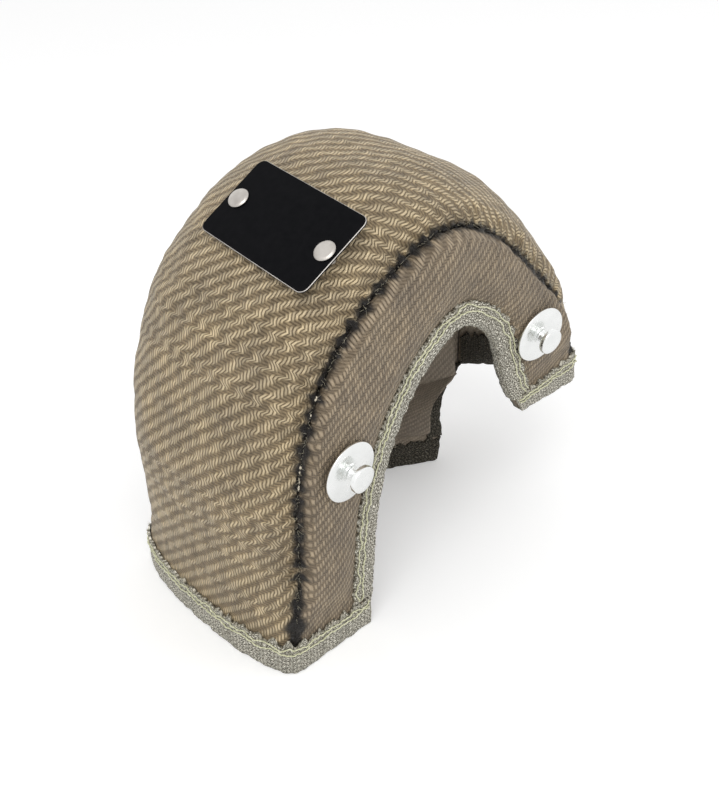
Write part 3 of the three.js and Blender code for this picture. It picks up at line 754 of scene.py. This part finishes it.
def makePanel(name, edge, cornerAt, bottomAt, lipFade, material, replaced, seed):
    # a side panel's shell: a lip up from the seam, the puffed middle, the flat hem under the tape
    length = np.linalg.norm(edge["outer"] - edge["inside"], axis=-1)[:, None]
    lip = shells["lip"] * lipFade[:, None]
    count = int(np.median(length) / shells["columnStep"]) + 8
    w = between(lip / length, 1.0, np.linspace(0, 1, count)[None])
    outer = panelFaces(edge, w)[0]
    lips = lipCurve(outer[:, 0], cornerAt, bottomAt, shells["lipSteps"])[:, ::-1]
    whole = np.concatenate([lips, outer], axis=1)
    fromSeam = measure(whole, 1)
    hem = smooth(0, 9, length - blanket["cutoutHem"] - fromSeam)
    facing = np.array([0, float(edge["facing"]), 0])
    plump = np.minimum(1, 0.25 + np.maximum(edge["fill"], edge["flapFill"]))[:, None]
    calm = np.minimum(1, fromSeam / 3) * np.maximum(hem, 0.08) * plump
    freeSide = 40 * (1 - lipFade[:, None])  # a free edge counts as far from any seam
    whole = roughen(whole, fromSeam + freeSide, facing, calm, seed)
    back = whole - facing * blanket["shellPly"]
    place = np.stack([whole[..., 0] * -edge["facing"], whole[..., 2]], axis=-1)
    piece = closedSheet(name, whole, back, place, shade=seamShade(fromSeam + freeSide))
    return finishPiece(piece, material, replaced)


frontRim = frontEdge(rows)
makePanel("frontPanel", frontRim, frontCorner, frontBottom, np.ones(len(runs)), sideCloth,
          ["front_side_panel"], 11)
flapDown = np.linspace(0, 1, 60)[1:]
rearRim = rearEdge(rows, flapDown)
freeEdge = rearRim["outer"][len(runs):]
rearLipFade = np.concatenate([np.ones(len(runs)), np.full(len(flapDown), 0.05)])
makePanel("rearPanel", rearRim, np.vstack([rearCorner, freeEdge]),
          np.vstack([rearBottom, freeEdge - np.array([0, blanket["shellPly"], 0])]), rearLipFade,
          sideCloth, ["rear_side_panel"], 21)
print("shells made")


# the liners and the batting between liner and shell, in millimetres
linings = {"ply": 1.4, "swell": 0.8, "swellWave": 30.0, "battingInset": 10.0, "outerGap": 2.6, "innerGap": 2.2}


def innerSwell(points, facing, seed, strength):
    normal = gridNormals(points)
    normal = normal * np.sign((normal * facing).sum(axis=-1, keepdims=True))
    wave = linings["swell"] * ripple(points, linings["swellWave"], seed) * strength
    return points + normal * np.minimum(wave, 0.6)[..., None], normal


bandInside = bandFaces(np.ones_like(half))[1]
bandInside, bandFacing = innerSwell(bandInside, rows["inward"][:, None], 5, hemFade)
bandLiner = closedSheet("bandLiner", bandInside, bandInside - bandFacing * linings["ply"], np.stack([
    measure(bandInside, 1), np.broadcast_to(runs[:, None], bandInside.shape[:2])], axis=-1))
finishPiece(bandLiner, linerCloth, ["band_liner"])


def makePanelLiner(name, edge, replaced, seed):
    w = np.broadcast_to(np.linspace(0.004, 1, 50)[None], (len(edge["fill"]), 50))
    inner = panelFaces(edge, w)[1]
    facing = np.array([0, -float(edge["facing"]), 0])
    calm = np.minimum(1, 0.2 + np.maximum(edge["fill"], edge["flapFill"]))[:, None] * smooth(1, 0.8, w)
    inner = innerSwell(inner, facing, seed, calm)[0]
    run = np.broadcast_to(np.arange(len(inner))[:, None] * shells["rowStep"], inner.shape[:2])
    piece = closedSheet(name, inner, inner - facing * linings["ply"], np.stack([measure(inner, 1), run], axis=-1))
    return finishPiece(piece, linerCloth, replaced)


makePanelLiner("frontLiner", frontRim, ["front_liner"], 7)
makePanelLiner("rearLiner", rearRim, ["rear_liner"], 8)


def makeBand(name, v, replaced):
    outer, inner = bandSkin(rows, np.broadcast_to(v[None], (len(runs), len(v))))
    keep = rows["fill"] > 0.08
    way = unit(inner - outer)
    above = (outer + way * linings["outerGap"])[keep]
    below = (inner - way * linings["innerGap"])[keep]
    piece = closedSheet(name, above, below, np.zeros((keep.sum(), len(v), 2)))
    return finishPiece(piece, batting, replaced)


makeBand("bandBatting", np.linspace(-0.8, 0.8, 21), ["band_batting"])


def makePanelBatting(name, edge, replaced):
    length = np.linalg.norm(edge["outer"] - edge["inside"], axis=-1)[:, None]
    low, high = linings["battingInset"] / length, 1 - (blanket["cutoutHem"] + 6) / length
    w = between(low, high, np.linspace(0, 1, 16)[None])
    outer, inner = panelFaces(edge, w)
    keep = edge["fill"] > 0.3
    way = unit(inner - outer)
    above = (outer + way * linings["outerGap"])[keep]
    below = (inner - way * linings["innerGap"])[keep]
    piece = closedSheet(name, above, below, np.zeros((keep.sum(), 16, 2)))
    return finishPiece(piece, batting, replaced)


makePanelBatting("frontBatting", frontRim, ["front_batting"])
makePanelBatting("rearBatting", rearRim, ["rear_batting"])
print("liners and batting made")


# the knitted tape over the bound edges, in millimetres
tapes = {
    "gap": 0.35, "thickness": 1.1, "foldSteps": 7, "faceSteps": 6, "raggedEdge": 1.1, "raggedWave": 6.0,
    "lump": 0.45, "lumpWave": 5.0, "step": 1.5, "hemGap": 0.6, "flapHeight": 47,
}


def evenPath(values, guide, step):
    # resamples arrays along a guide path at an even step
    far = np.concatenate([[0], np.cumsum(np.linalg.norm(np.diff(guide, axis=0), axis=1))])
    at = np.linspace(0, far[-1], int(far[-1] / step) + 1)
    flat = [value.reshape(len(far), -1).T for value in values]
    moved = [np.stack([np.interp(at, far, column) for column in columns], axis=-1) for columns in flat]
    return at, [new.reshape((len(at),) + value.shape[1:]) for new, value in zip(moved, values)]


def softened(values, spread):
    # a bell-shaped running mean along the path, with the ends held
    if spread <= 0:
        return values
    reach = int(3 * spread) + 1
    bell = np.exp(-0.5 * (np.arange(-reach, reach + 1) / spread) ** 2)
    bell /= bell.sum()
    start = 2 * values[:1] - values[1:reach + 1][::-1]
    end = 2 * values[-1:] - values[-reach - 1:-1][::-1]
    padded = np.concatenate([start, values, end])
    return np.stack([np.convolve(column, bell, mode="valid") for column in padded.reshape(len(padded), -1).T],
                    axis=-1).reshape(values.shape)


def makeTape(name, outerFace, innerFace, replaced, seed, cornerSpread=0.0, paintedShade=0.0):
    # outerFace and innerFace run from the hem line to the bound edge; the tape's section is carried along them:
    # up one face, round the edge as half an ellipse, and back down the other
    at, (outer, inner) = evenPath([outerFace, innerFace], outerFace[:, -1], tapes["step"])
    outer, inner = softened(outer, cornerSpread), softened(inner, cornerSpread)
    ragged = 1 + tapes["raggedEdge"] / 12 * ripple(at[:, None], tapes["raggedWave"], seed)
    up = unit(outer[:, -1] - inner[:, -1])
    off = unit(outer[:, -1] - outer[:, 0])
    middle = (outer[:, -1] + inner[:, -1]) / 2
    core = np.linalg.norm(outer[:, -1] - inner[:, -1], axis=-1) / 2
    turn = np.linspace(0, math.pi, tapes["foldSteps"] + 2)[1:-1]

    def face(points, height, normal, edge):
        start = points[:, :1] + (points[:, :1] - edge[:, None]) * (ragged[:, None, None] - 1)
        return np.concatenate([start, points[:, 1:]], axis=1) + normal[:, None] * height

    def loop(height):
        rise = (np.sign(np.cos(turn)) * np.abs(np.cos(turn)) ** 0.6)[None, :, None]
        bulge = (np.sin(turn) ** 0.6)[None, :, None]
        fold = (middle[:, None] + up[:, None] * (core[:, None, None] + height) * rise
                + off[:, None] * (height + 0.3) * bulge)
        return np.concatenate([face(outer, height, up, outer[:, -1])[:, :-1], fold,
                               face(inner, height, -up, inner[:, -1])[:, :-1][:, ::-1]], axis=1)

    top, bottom = loop(tapes["gap"] + tapes["thickness"]), loop(tapes["gap"])
    lump = tapes["lump"] * ripple(top, tapes["lumpWave"], seed + 1)
    top = top + unit(top - bottom) * np.clip(lump, -0.5, 0.3)[..., None]
    across = measure(top, 1)
    place = np.stack([across, np.broadcast_to(at[:, None], across.shape)], axis=-1)
    columns = np.arange(top.shape[1])
    # painted shade: the inner face fully, and the whole tape by a share given as the last argument, darkened
    # through the seamShade attribute
    inside = smooth(tapes["faceSteps"] + 2, tapes["faceSteps"] + 5, columns)
    shade = np.broadcast_to(np.maximum(inside, paintedShade), top.shape[:2])
    piece = closedSheet(name, top, bottom, place, sharp=60, shade=shade)
    finishPiece(piece, tapeFinish, replaced)
    return {"at": at, "top": top, "across": across, "outer": outer, "inner": inner, "up": up, "off": off}


def panelHem(edge, keep=slice(None)):
    # a panel's two faces from the hem line to the cut-out
    length = np.linalg.norm(edge["outer"] - edge["inside"], axis=-1)[:, None]
    w = between(1 - blanket["cutoutHem"] / length, 1.0, np.linspace(0, 1, tapes["faceSteps"])[None])
    outer, inner = panelFaces(edge, w)
    return outer[keep], inner[keep]


def legEnd(edgeRow, lineRow, shares, faces):
    # a leg end's places: the two faces at its hem line and at its bound edge
    edgeFaces, lineFaces = faces(edgeRow, shares), faces(lineRow, shares)
    steps = np.linspace(0, 1, tapes["faceSteps"])[None, :, None]
    return [line[0][:, None] * (1 - steps) + edge[0][:, None] * steps for line, edge in zip(lineFaces, edgeFaces)]


def bandAt(row, shares):
    return bandGrid(row["run"][:, None], shares[None])


def frontAt(row, shares):
    return panelFaces(frontEdge(row), shares[None])


def rearAt(row, shares):
    return panelFaces(rearEdge(row, np.zeros(0)), shares[None])


footEdge, footLine = station(np.array([0.0])), station(np.array([float(blanket["legHem"])]))
endEdge, endLine = station(np.array([crownLength])), station(np.array([crownLength - blanket["legHem"]]))
inwards = np.linspace(1, 0, 24)
footParts = [legEnd(footEdge, footLine, inwards, rearAt),
             legEnd(footEdge, footLine, np.linspace(1, -1, 50)[1:-1], bandAt),
             legEnd(footEdge, footLine, inwards[::-1], frontAt)]
footTape = makeTape("footTape", *[np.concatenate([part[k] for part in footParts]) for k in (0, 1)],
                    ["long_leg_foot_binding"], 41, 2.6)
endParts = [legEnd(endEdge, endLine, inwards, frontAt),
            legEnd(endEdge, endLine, np.linspace(-1, 0.97, 50)[1:], bandAt)]
endTape = makeTape("endTape", *[np.concatenate([part[k] for part in endParts]) for k in (0, 1)],
                   ["short_leg_end_binding"], 51, 2.6)
tapeStart = blanket["legHem"] + tapes["hemGap"]
inHem = (runs > tapeStart) & (runs < crownLength - tapeStart)
frontTape = makeTape("frontCutoutTape", *panelHem(frontRim, inHem), ["front_cutout_binding"], 61, 1.0)
flapHemStart = 1 - (blanket["flapHem"] + tapes["hemGap"]) / tapes["flapHeight"]
rearKeep = np.concatenate([runs > tapeStart, flapDown < flapHemStart])
# the rear cut-out tape and the flap's two tapes get a share of painted shade over the whole tape
rearTape = makeTape("rearCutoutTape", *panelHem(rearRim, rearKeep), ["rear_cutout_binding"], 71, 1.0, 0.35)


def flapRow(down):
    whole = rearEdge(station(np.array([crownLength])), np.array([down]))
    return {key: value if key == "facing" else value[1:] for key, value in whole.items()}


def flapFoot():
    shares = np.concatenate([inwards, [0.0]])
    parts = [panelFaces(flapRow(down), shares[None]) for down in (flapHemStart + 0.012, 1.0)]
    steps = np.linspace(0, 1, tapes["faceSteps"])[None, :, None]
    return [line[0][:, None] * (1 - steps) + edge[0][:, None] * steps for line, edge in zip(*parts)]


flapFootTape = makeTape("flapFootTape", *flapFoot(), ["flap_foot_binding"], 81, 0.0, 0.5)


def flapEdgeFaces():
    rim = rearEdge(station(np.array([crownLength])), np.linspace(0.02, flapHemStart - 0.01, 40))
    rim = {key: value if key == "facing" else value[1:] for key, value in rim.items()}
    length = np.linalg.norm(rim["outer"] - rim["inside"], axis=-1)[:, None]
    w = np.linspace(blanket["flapSideHem"], 0, tapes["faceSteps"])[None] / length
    return panelFaces(rim, w)


flapEdgeTape = makeTape("flapEdgeTape", *flapEdgeFaces(), ["flap_edge_binding"], 91, 0.0, 0.5)
print("tapes made")


# the threads on the tapes and in the seams, in millimetres
stitching = {"thread": 0.36, "pitch": 3.6, "sink": 0.45, "lift": 0.42, "sides": 6, "perStitch": 5, "sway": 0.8,
             "seamBead": 0.8, "seamPitch": 2.4, "seamOut": 0.9, "seamFrom": 62, "proudAt": 128, "proudReach": 16}


def stitchLine(name, tape, share, seed):
    # a thread along a tape at one share of its outer face: it rises and dips once for every stitch
    faceColumns = tapes["faceSteps"] - 1
    column = share * (faceColumns - 1)
    low = int(min(column, faceColumns - 2))
    base = between(tape["top"][:, low], tape["top"][:, low + 1], column - low)
    count = int(tape["at"][-1] / stitching["pitch"] * stitching["perStitch"])
    at = np.linspace(1.0, tape["at"][-1] - 1.0, count)
    path, up, off = (np.stack([np.interp(at, tape["at"], values[:, k]) for k in range(3)], axis=-1)
                     for values in (base, tape["up"], tape["off"]))
    up, off = unit(up), unit(off)
    beat = np.cos(2 * math.pi * at / stitching["pitch"])
    path = path + up * (stitching["lift"] + stitching["sink"] * beat * 0.5)[:, None]
    path = path + off * (stitching["sway"] * ripple(at[:, None], 13.0, seed))[:, None]
    piece = tubes(name, path[None], stitching["thread"], stitching["sides"])
    return finishPiece(piece, paleThread)


for title, tape, shares in (("footTape", footTape, (0.2, 0.42)), ("endTape", endTape, (0.25, 0.5)),
                            ("frontCutoutTape", frontTape, (0.22, 0.55)),
                            ("rearCutoutTape", rearTape, (0.22, 0.55)),
                            ("flapFootTape", flapFootTape, (0.25,)), ("flapEdgeTape", flapEdgeTape, (0.3,))):
    for number, share in enumerate(shares):
        stitchLine(f"{title}Stitches{number + 1}", tape, share, 7 * number + len(title))


def seamBeads(name, side, seed):
    # short stitches deep in the seam: each a small bean, thick in the middle, and one run of them stands proud
    at = np.arange(stitching["seamFrom"], crownLength - 22, stitching["seamPitch"])
    rng = np.random.default_rng(seed)
    at = at + rng.uniform(-0.3, 0.3, len(at))
    spots = station(at)
    corner, bottom = seamBottom(spots, side)
    out = unit(corner - bottom)
    ahead = unit(np.gradient(bottom, axis=0))
    proud = np.exp(-((at - stitching["proudAt"]) / stitching["proudReach"]) ** 2)
    lift = stitching["seamOut"] * (0.2 + 2.4 * proud)
    t = np.linspace(-1, 1, 6)[None, :, None]
    arch = lift[:, None, None] * (1 - 0.5 * t ** 2)
    paths = bottom[:, None] + out[:, None] * arch + ahead[:, None] * t * 1.25
    taper = np.sqrt(np.maximum(0.05, 1 - np.linspace(-1, 1, 6) ** 2))
    piece = tubes(name, paths, stitching["seamBead"] * 0.75, 6, taper)
    return finishPiece(piece, creamThread)


seamBeads("frontSeamStitches", -1, 15)
seamBeads("rearSeamStitches", 1, 16)

fray = {"radius": 0.09, "samples": 5, "floor": -1.4, "seamCount": 240,
        "reach": 3.4, "hemReach": 2.4, "foldReach": 1.6}


def frayedEnds(name, roots, outward, along, count, seed, reach):
    # loose fibres: short curved hairs that leave the cloth and bend along it
    rng = np.random.default_rng(seed)
    pick = rng.integers(0, len(roots), count)
    t = np.linspace(0, 1, fray["samples"])[None, :, None]
    lean = outward[pick] + 0.8 * rng.normal(size=(count, 3)) * 0.5
    bend = along[pick] * rng.uniform(-1, 1, (count, 1)) + 0.6 * rng.normal(size=(count, 3))
    length = (reach * rng.uniform(0.3, 1.0, count) ** 1.4)[:, None, None]
    paths = roots[pick][:, None] + unit(lean)[:, None] * t * length + bend[:, None] * t ** 2 * length * 0.55
    paths[..., 2] = np.maximum(paths[..., 2], fray["floor"])
    piece = tubes(name, paths, fray["radius"], 3, np.linspace(1, 0.35, fray["samples"]))
    return finishPiece(piece, frayedYarn)


for title, tape, count in (("footTape", footTape, 260), ("endTape", endTape, 120),
                           ("frontCutoutTape", frontTape, 260)):
    free, fold = tape["top"][:, 0], tape["top"][:, tapes["faceSteps"] + 1]
    frayedEnds(title + "Fray", free, tape["up"] * 0.5 - tape["off"] * 0.4, unit(np.gradient(free, axis=0)),
               count, len(title), fray["hemReach"])
    frayedEnds(title + "FoldFray", fold, tape["off"] + tape["up"] * 0.3, unit(np.gradient(fold, axis=0)),
               count, 3 + len(title), fray["foldReach"])
seamRoots = frontBottom + (frontCorner - frontBottom) * 0.6
frayedEnds("seamFray", seamRoots[20:-20], unit(frontCorner - frontBottom)[20:-20],
           unit(np.gradient(frontBottom, axis=0))[20:-20], fray["seamCount"], 77, fray["reach"])
print("stitches and frayed ends made")


# the lacing posts, in millimetres
posts = {"disc": 30.0, "discEase": 0.4, "lock": 24.0, "head": 13.5, "headThickness": 2.6, "headEase": 0.7,
         "pin": 6.0, "collar": 9.0, "collarThickness": 0.5, "sides": 96}


def nodePoints(name):
    # the node's own points, in the frame's millimetres
    data = nodes[name].data
    flat = np.zeros(len(data.vertices) * 3)
    data.vertices.foreach_get("co", flat)
    return flat.reshape(-1, 3) * 1000 - np.array(blanket["shift"])


def turnedPiece(name, profile, seat, axis, sides):
    # a profile of (radius, height) carried once round an axis; its ends lie on the axis, so both poles are closed
    profile = np.array(profile, float)
    axis = unit(axis)
    aside = unit(np.cross(axis, np.array([0.2, 0.3, 0.93])))
    other = np.cross(axis, aside)
    turn = np.linspace(0, 2 * math.pi, sides, endpoint=False)
    ring = np.cos(turn)[:, None] * aside + np.sin(turn)[:, None] * other
    onAxis = profile[:, 0] < 1e-6
    middle = profile[~onAxis]
    points = (seat + middle[:, 1][:, None, None] * axis + middle[:, 0][:, None, None] * ring[None]).reshape(-1, 3)
    quads = wallQuads(len(middle), sides)
    if onAxis.any():
        caps = [list(range(sides))[::-1], list(range((len(middle) - 1) * sides, len(middle) * sides))]
        return makeMesh(name, points, quads, extraFaces=caps, sharp=35)
    here = np.arange(sides)
    after, end = (here + 1) % sides, (len(middle) - 1) * sides
    last = np.stack([end + here, end + after, after, here], axis=-1)
    return makeMesh(name, points, np.vstack([quads, last]), sharp=35)


def axisOf(name, facing):
    # a disc's own axis is the direction in which its points spread least
    spots = nodePoints(name)
    centre = (spots.min(axis=0) + spots.max(axis=0)) / 2
    axis = np.linalg.svd(spots - centre, full_matrices=False)[2][2]
    return axis * np.sign(axis[1] * facing)


def heights(name, seat, axis):
    far = (nodePoints(name) - seat) @ axis
    return far.min(), far.max()


def ringProfile(hole, radius, low, high, ease):
    return [(hole, low), (radius - ease, low), (radius - ease * 0.3, low + ease * 0.3), (radius, low + ease),
            (radius, high - ease), (radius - ease * 0.3, high - ease * 0.3), (radius - ease, high), (hole, high)]


for title, facing in (("front_long_leg", -1), ("front_short_leg", -1),
                      ("rear_long_leg", 1), ("rear_short_leg", 1)):
    words = title.split("_")
    plain = words[0] + "".join(word.capitalize() for word in words[1:])
    axis = axisOf(f"{title}_post_disc", facing)
    around = nodePoints(f"{title}_post_disc")
    seat = (around.min(axis=0) + around.max(axis=0)) / 2
    low, high = heights(f"{title}_post_disc", seat, axis)
    hole = posts["pin"] / 2 + 0.2
    discProfile = ringProfile(hole, posts["disc"] / 2, low, high, posts["discEase"])
    disc = turnedPiece(plain + "Disc", discProfile, seat, axis, posts["sides"])
    finishPiece(disc, steel, [f"{title}_post_disc"])
    lockLow, lockHigh = heights(f"{title}_post_lock_washer", seat, axis)
    lockProfile = ringProfile(hole, posts["lock"] / 2, lockLow, lockHigh, 0.3)
    lock = turnedPiece(plain + "Lock", lockProfile, seat, axis, 64)
    finishPiece(lock, steel, [f"{title}_post_lock_washer"])
    tail, top = heights(f"{title}_post_stud", seat, axis)
    pin, head, ease = posts["pin"] / 2, posts["head"] / 2, posts["headEase"]
    under = top - posts["headThickness"]
    stud = turnedPiece(plain + "Stud", [
        (0, tail), (pin + 1.2, tail), (pin + 1.5, tail + 0.4), (pin + 1.5, tail + 1.0), (pin, tail + 1.2),
        (pin, high + 0.05), (posts["collar"] / 2, high + 0.05),
        (posts["collar"] / 2, high + posts["collarThickness"]),
        (pin + 0.3, high + posts["collarThickness"] + 0.2), (pin, high + 1.2), (pin, under - 0.4),
        (pin + 0.4, under), (head - 0.3, under), (head, under + 0.35), (head, top - ease),
        (head - ease * 0.3, top - ease * 0.3), (head - ease, top),
        (head * 0.6, top + 0.02), (0, top + 0.02)], seat, axis, posts["sides"])
    finishPiece(stud, steel, [f"{title}_post_stud"])
print("posts made")


# the bare plate and its two rivets, in millimetres
plate = {"length": 72.0, "height": 41.9, "corner": 4.0, "bevel": 0.25,
         "rivetHead": 10.0, "rivetHeadThickness": 1.2}


def plateFrame():
    # the plate's middle and its own axes: long way, short way and out of the crown
    spots = nodePoints("name_plate")
    centre = (spots.min(axis=0) + spots.max(axis=0)) / 2
    axes = np.linalg.svd(spots - spots.mean(axis=0), full_matrices=False)[2]
    out = axes[2] * np.sign(axes[2][2])
    first = nodePoints("plate_rivet_1")
    second = nodePoints("plate_rivet_2")
    seats = [(spot.min(axis=0) + spot.max(axis=0)) / 2 for spot in (first, second)]
    long = unit(seats[1] - seats[0] - out * ((seats[1] - seats[0]) @ out))
    return centre, long, np.cross(out, long), out, seats


plateCentre, plateLong, plateShort, plateOut, rivetSeats = plateFrame()


def roundedOutline(length, height, corner, inset, steps=10):
    turn = np.linspace(0, math.pi / 2, steps)
    x, y, r = length / 2 - corner, height / 2 - corner, corner - inset
    quarter = np.stack([np.cos(turn), np.sin(turn)], axis=-1) * r
    sides = [(1, 1, 0), (-1, 1, 1), (-1, -1, 2), (1, -1, 3)]
    parts = []
    for sx, sy, quarterTurns in sides:
        c, s = math.cos(quarterTurns * math.pi / 2), math.sin(quarterTurns * math.pi / 2)
        parts.append(quarter @ np.array([[c, s], [-s, c]]) + np.array([sx * x, sy * y]))
    return np.concatenate(parts)


def makePlate():
    # stacked rounded outlines: the underside, the edge, a fine bevel and the face
    low, high = heights("name_plate", plateCentre, plateOut)
    bevel = plate["bevel"]
    layers = [(bevel, low), (0, low + bevel * 0.6), (0, high - bevel), (bevel, high), (3.0, high)]
    rings = []
    for inset, level in layers:
        flat = roundedOutline(plate["length"], plate["height"], plate["corner"], inset)
        rings.append(plateCentre + flat[:, :1] * plateLong + flat[:, 1:] * plateShort + level * plateOut)
    around = len(rings[0])
    points = np.concatenate(rings)
    quads = wallQuads(len(rings), around)
    caps = [list(range(around))[::-1], list(range((len(rings) - 1) * around, len(rings) * around))]
    piece = makeMesh("namePlate", points, quads, extraFaces=caps, sharp=30)
    slots = np.zeros(len(piece.data.polygons), dtype=np.int32)
    slots[2 * around:3 * around] = 1
    piece.data.polygons.foreach_set("material_index", slots)
    return piece


finishPiece(makePlate(), plateFinish, ["name_plate"]).data.materials.append(rivetMetal)
for number, seat in enumerate(rivetSeats):
    low, high = heights(f"plate_rivet_{number + 1}", seat, plateOut)
    head, under = plate["rivetHead"] / 2, high - plate["rivetHeadThickness"]
    rivet = turnedPiece(f"plateRivet{number + 1}", [
        (0, low), (1.9, low), (1.9, under), (head - 0.15, under), (head, under + 0.3), (head - 0.5, high - 0.35),
        (head * 0.75, high - 0.12), (head * 0.4, high), (0, high)], seat, plateOut, 64)
    finishPiece(rivet, rivetMetal, [f"plate_rivet_{number + 1}"])
print("plate made")


# the floor, the two lamps and the light from all round, in metres and watts
studio = {"floorSize": 8.0, "floor": (0.9, 0.9, 0.9), "floorLift": 0.2, "fill": 0.75,
          "key": 9.0, "keyAt": (-0.75, -0.55, 1.35), "keySize": 0.9,
          "side": 3.0, "sideAt": (0.9, -0.9, 0.9), "sideSize": 1.0}


def makeFloor():
    size = studio["floorSize"] / 2
    mesh = bpy.data.meshes.new("floor")
    mesh.from_pydata([(-size, -size, 0), (size, -size, 0), (size, size, 0), (-size, size, 0)], [], [(0, 1, 2, 3)])
    floor = bpy.data.objects.new("floor", mesh)
    bpy.context.scene.collection.objects.link(floor)
    material, tree, shader = bareMaterial("whiteFloor")
    shader.inputs["Base Color"].default_value = (*studio["floor"], 1)
    shader.inputs["Roughness"].default_value = 0.9
    shader.inputs["Specular IOR Level"].default_value = 0.1
    shader.inputs["Emission Color"].default_value = (1, 1, 1, 1)
    seen = tree.nodes.new("ShaderNodeLightPath").outputs["Is Camera Ray"]
    tree.links.new(sums(tree, "MULTIPLY", seen, studio["floorLift"]), shader.inputs["Emission Strength"])
    floor.data.materials.append(material)
    floor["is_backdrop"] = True


def makeWorld():
    world = bpy.data.worlds.new("softBox")
    bpy.context.scene.world = world
    world.use_nodes = True
    tree = world.node_tree
    back = tree.nodes["Background"]
    back.inputs["Color"].default_value = (1, 1, 1, 1)
    path = tree.nodes.new("ShaderNodeLightPath")
    shown = sums(tree, "MAXIMUM", path.outputs["Is Camera Ray"],
                 sums(tree, "MAXIMUM", path.outputs["Is Glossy Ray"], path.outputs["Is Transmission Ray"]))
    strength = sums(tree, "ADD", sums(tree, "MULTIPLY", shown, 1 - studio["fill"]), studio["fill"])
    tree.links.new(strength, back.inputs["Strength"])


def addLamp(name, power, place, size):
    lamp = bpy.data.lights.new(name, "AREA")
    lamp.energy = power
    lamp.size = size
    holder = bpy.data.objects.new(name, lamp)
    bpy.context.scene.collection.objects.link(holder)
    holder.location = place
    holder.rotation_mode = "QUATERNION"
    holder.rotation_quaternion = (Vector((0, 0, 0.1)) - Vector(place)).to_track_quat("-Z", "Y")


makeFloor()
makeWorld()
addLamp("keyLamp", studio["key"], studio["keyAt"], studio["keySize"])
addLamp("sideLamp", studio["side"], studio["sideAt"], studio["sideSize"])

view = {"place": (-0.3259, -0.3322, 0.4211), "target": (-0.000036, 0.000795, 0.08307), "lens": 48.93}
cameraData = bpy.data.cameras.new("camera")
cameraData.lens = view["lens"]
cameraData.sensor_width = 36
cameraData.clip_start = 0.01
camera = bpy.data.objects.new("camera", cameraData)
bpy.context.scene.collection.objects.link(camera)
camera.location = view["place"]
camera.rotation_mode = "QUATERNION"
camera.rotation_quaternion = (Vector(view["target"]) - Vector(view["place"])).to_track_quat("-Z", "Y")
bpy.context.scene.camera = camera
bpy.context.scene.view_settings.view_transform = "Standard"
print("studio made")

low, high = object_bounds()
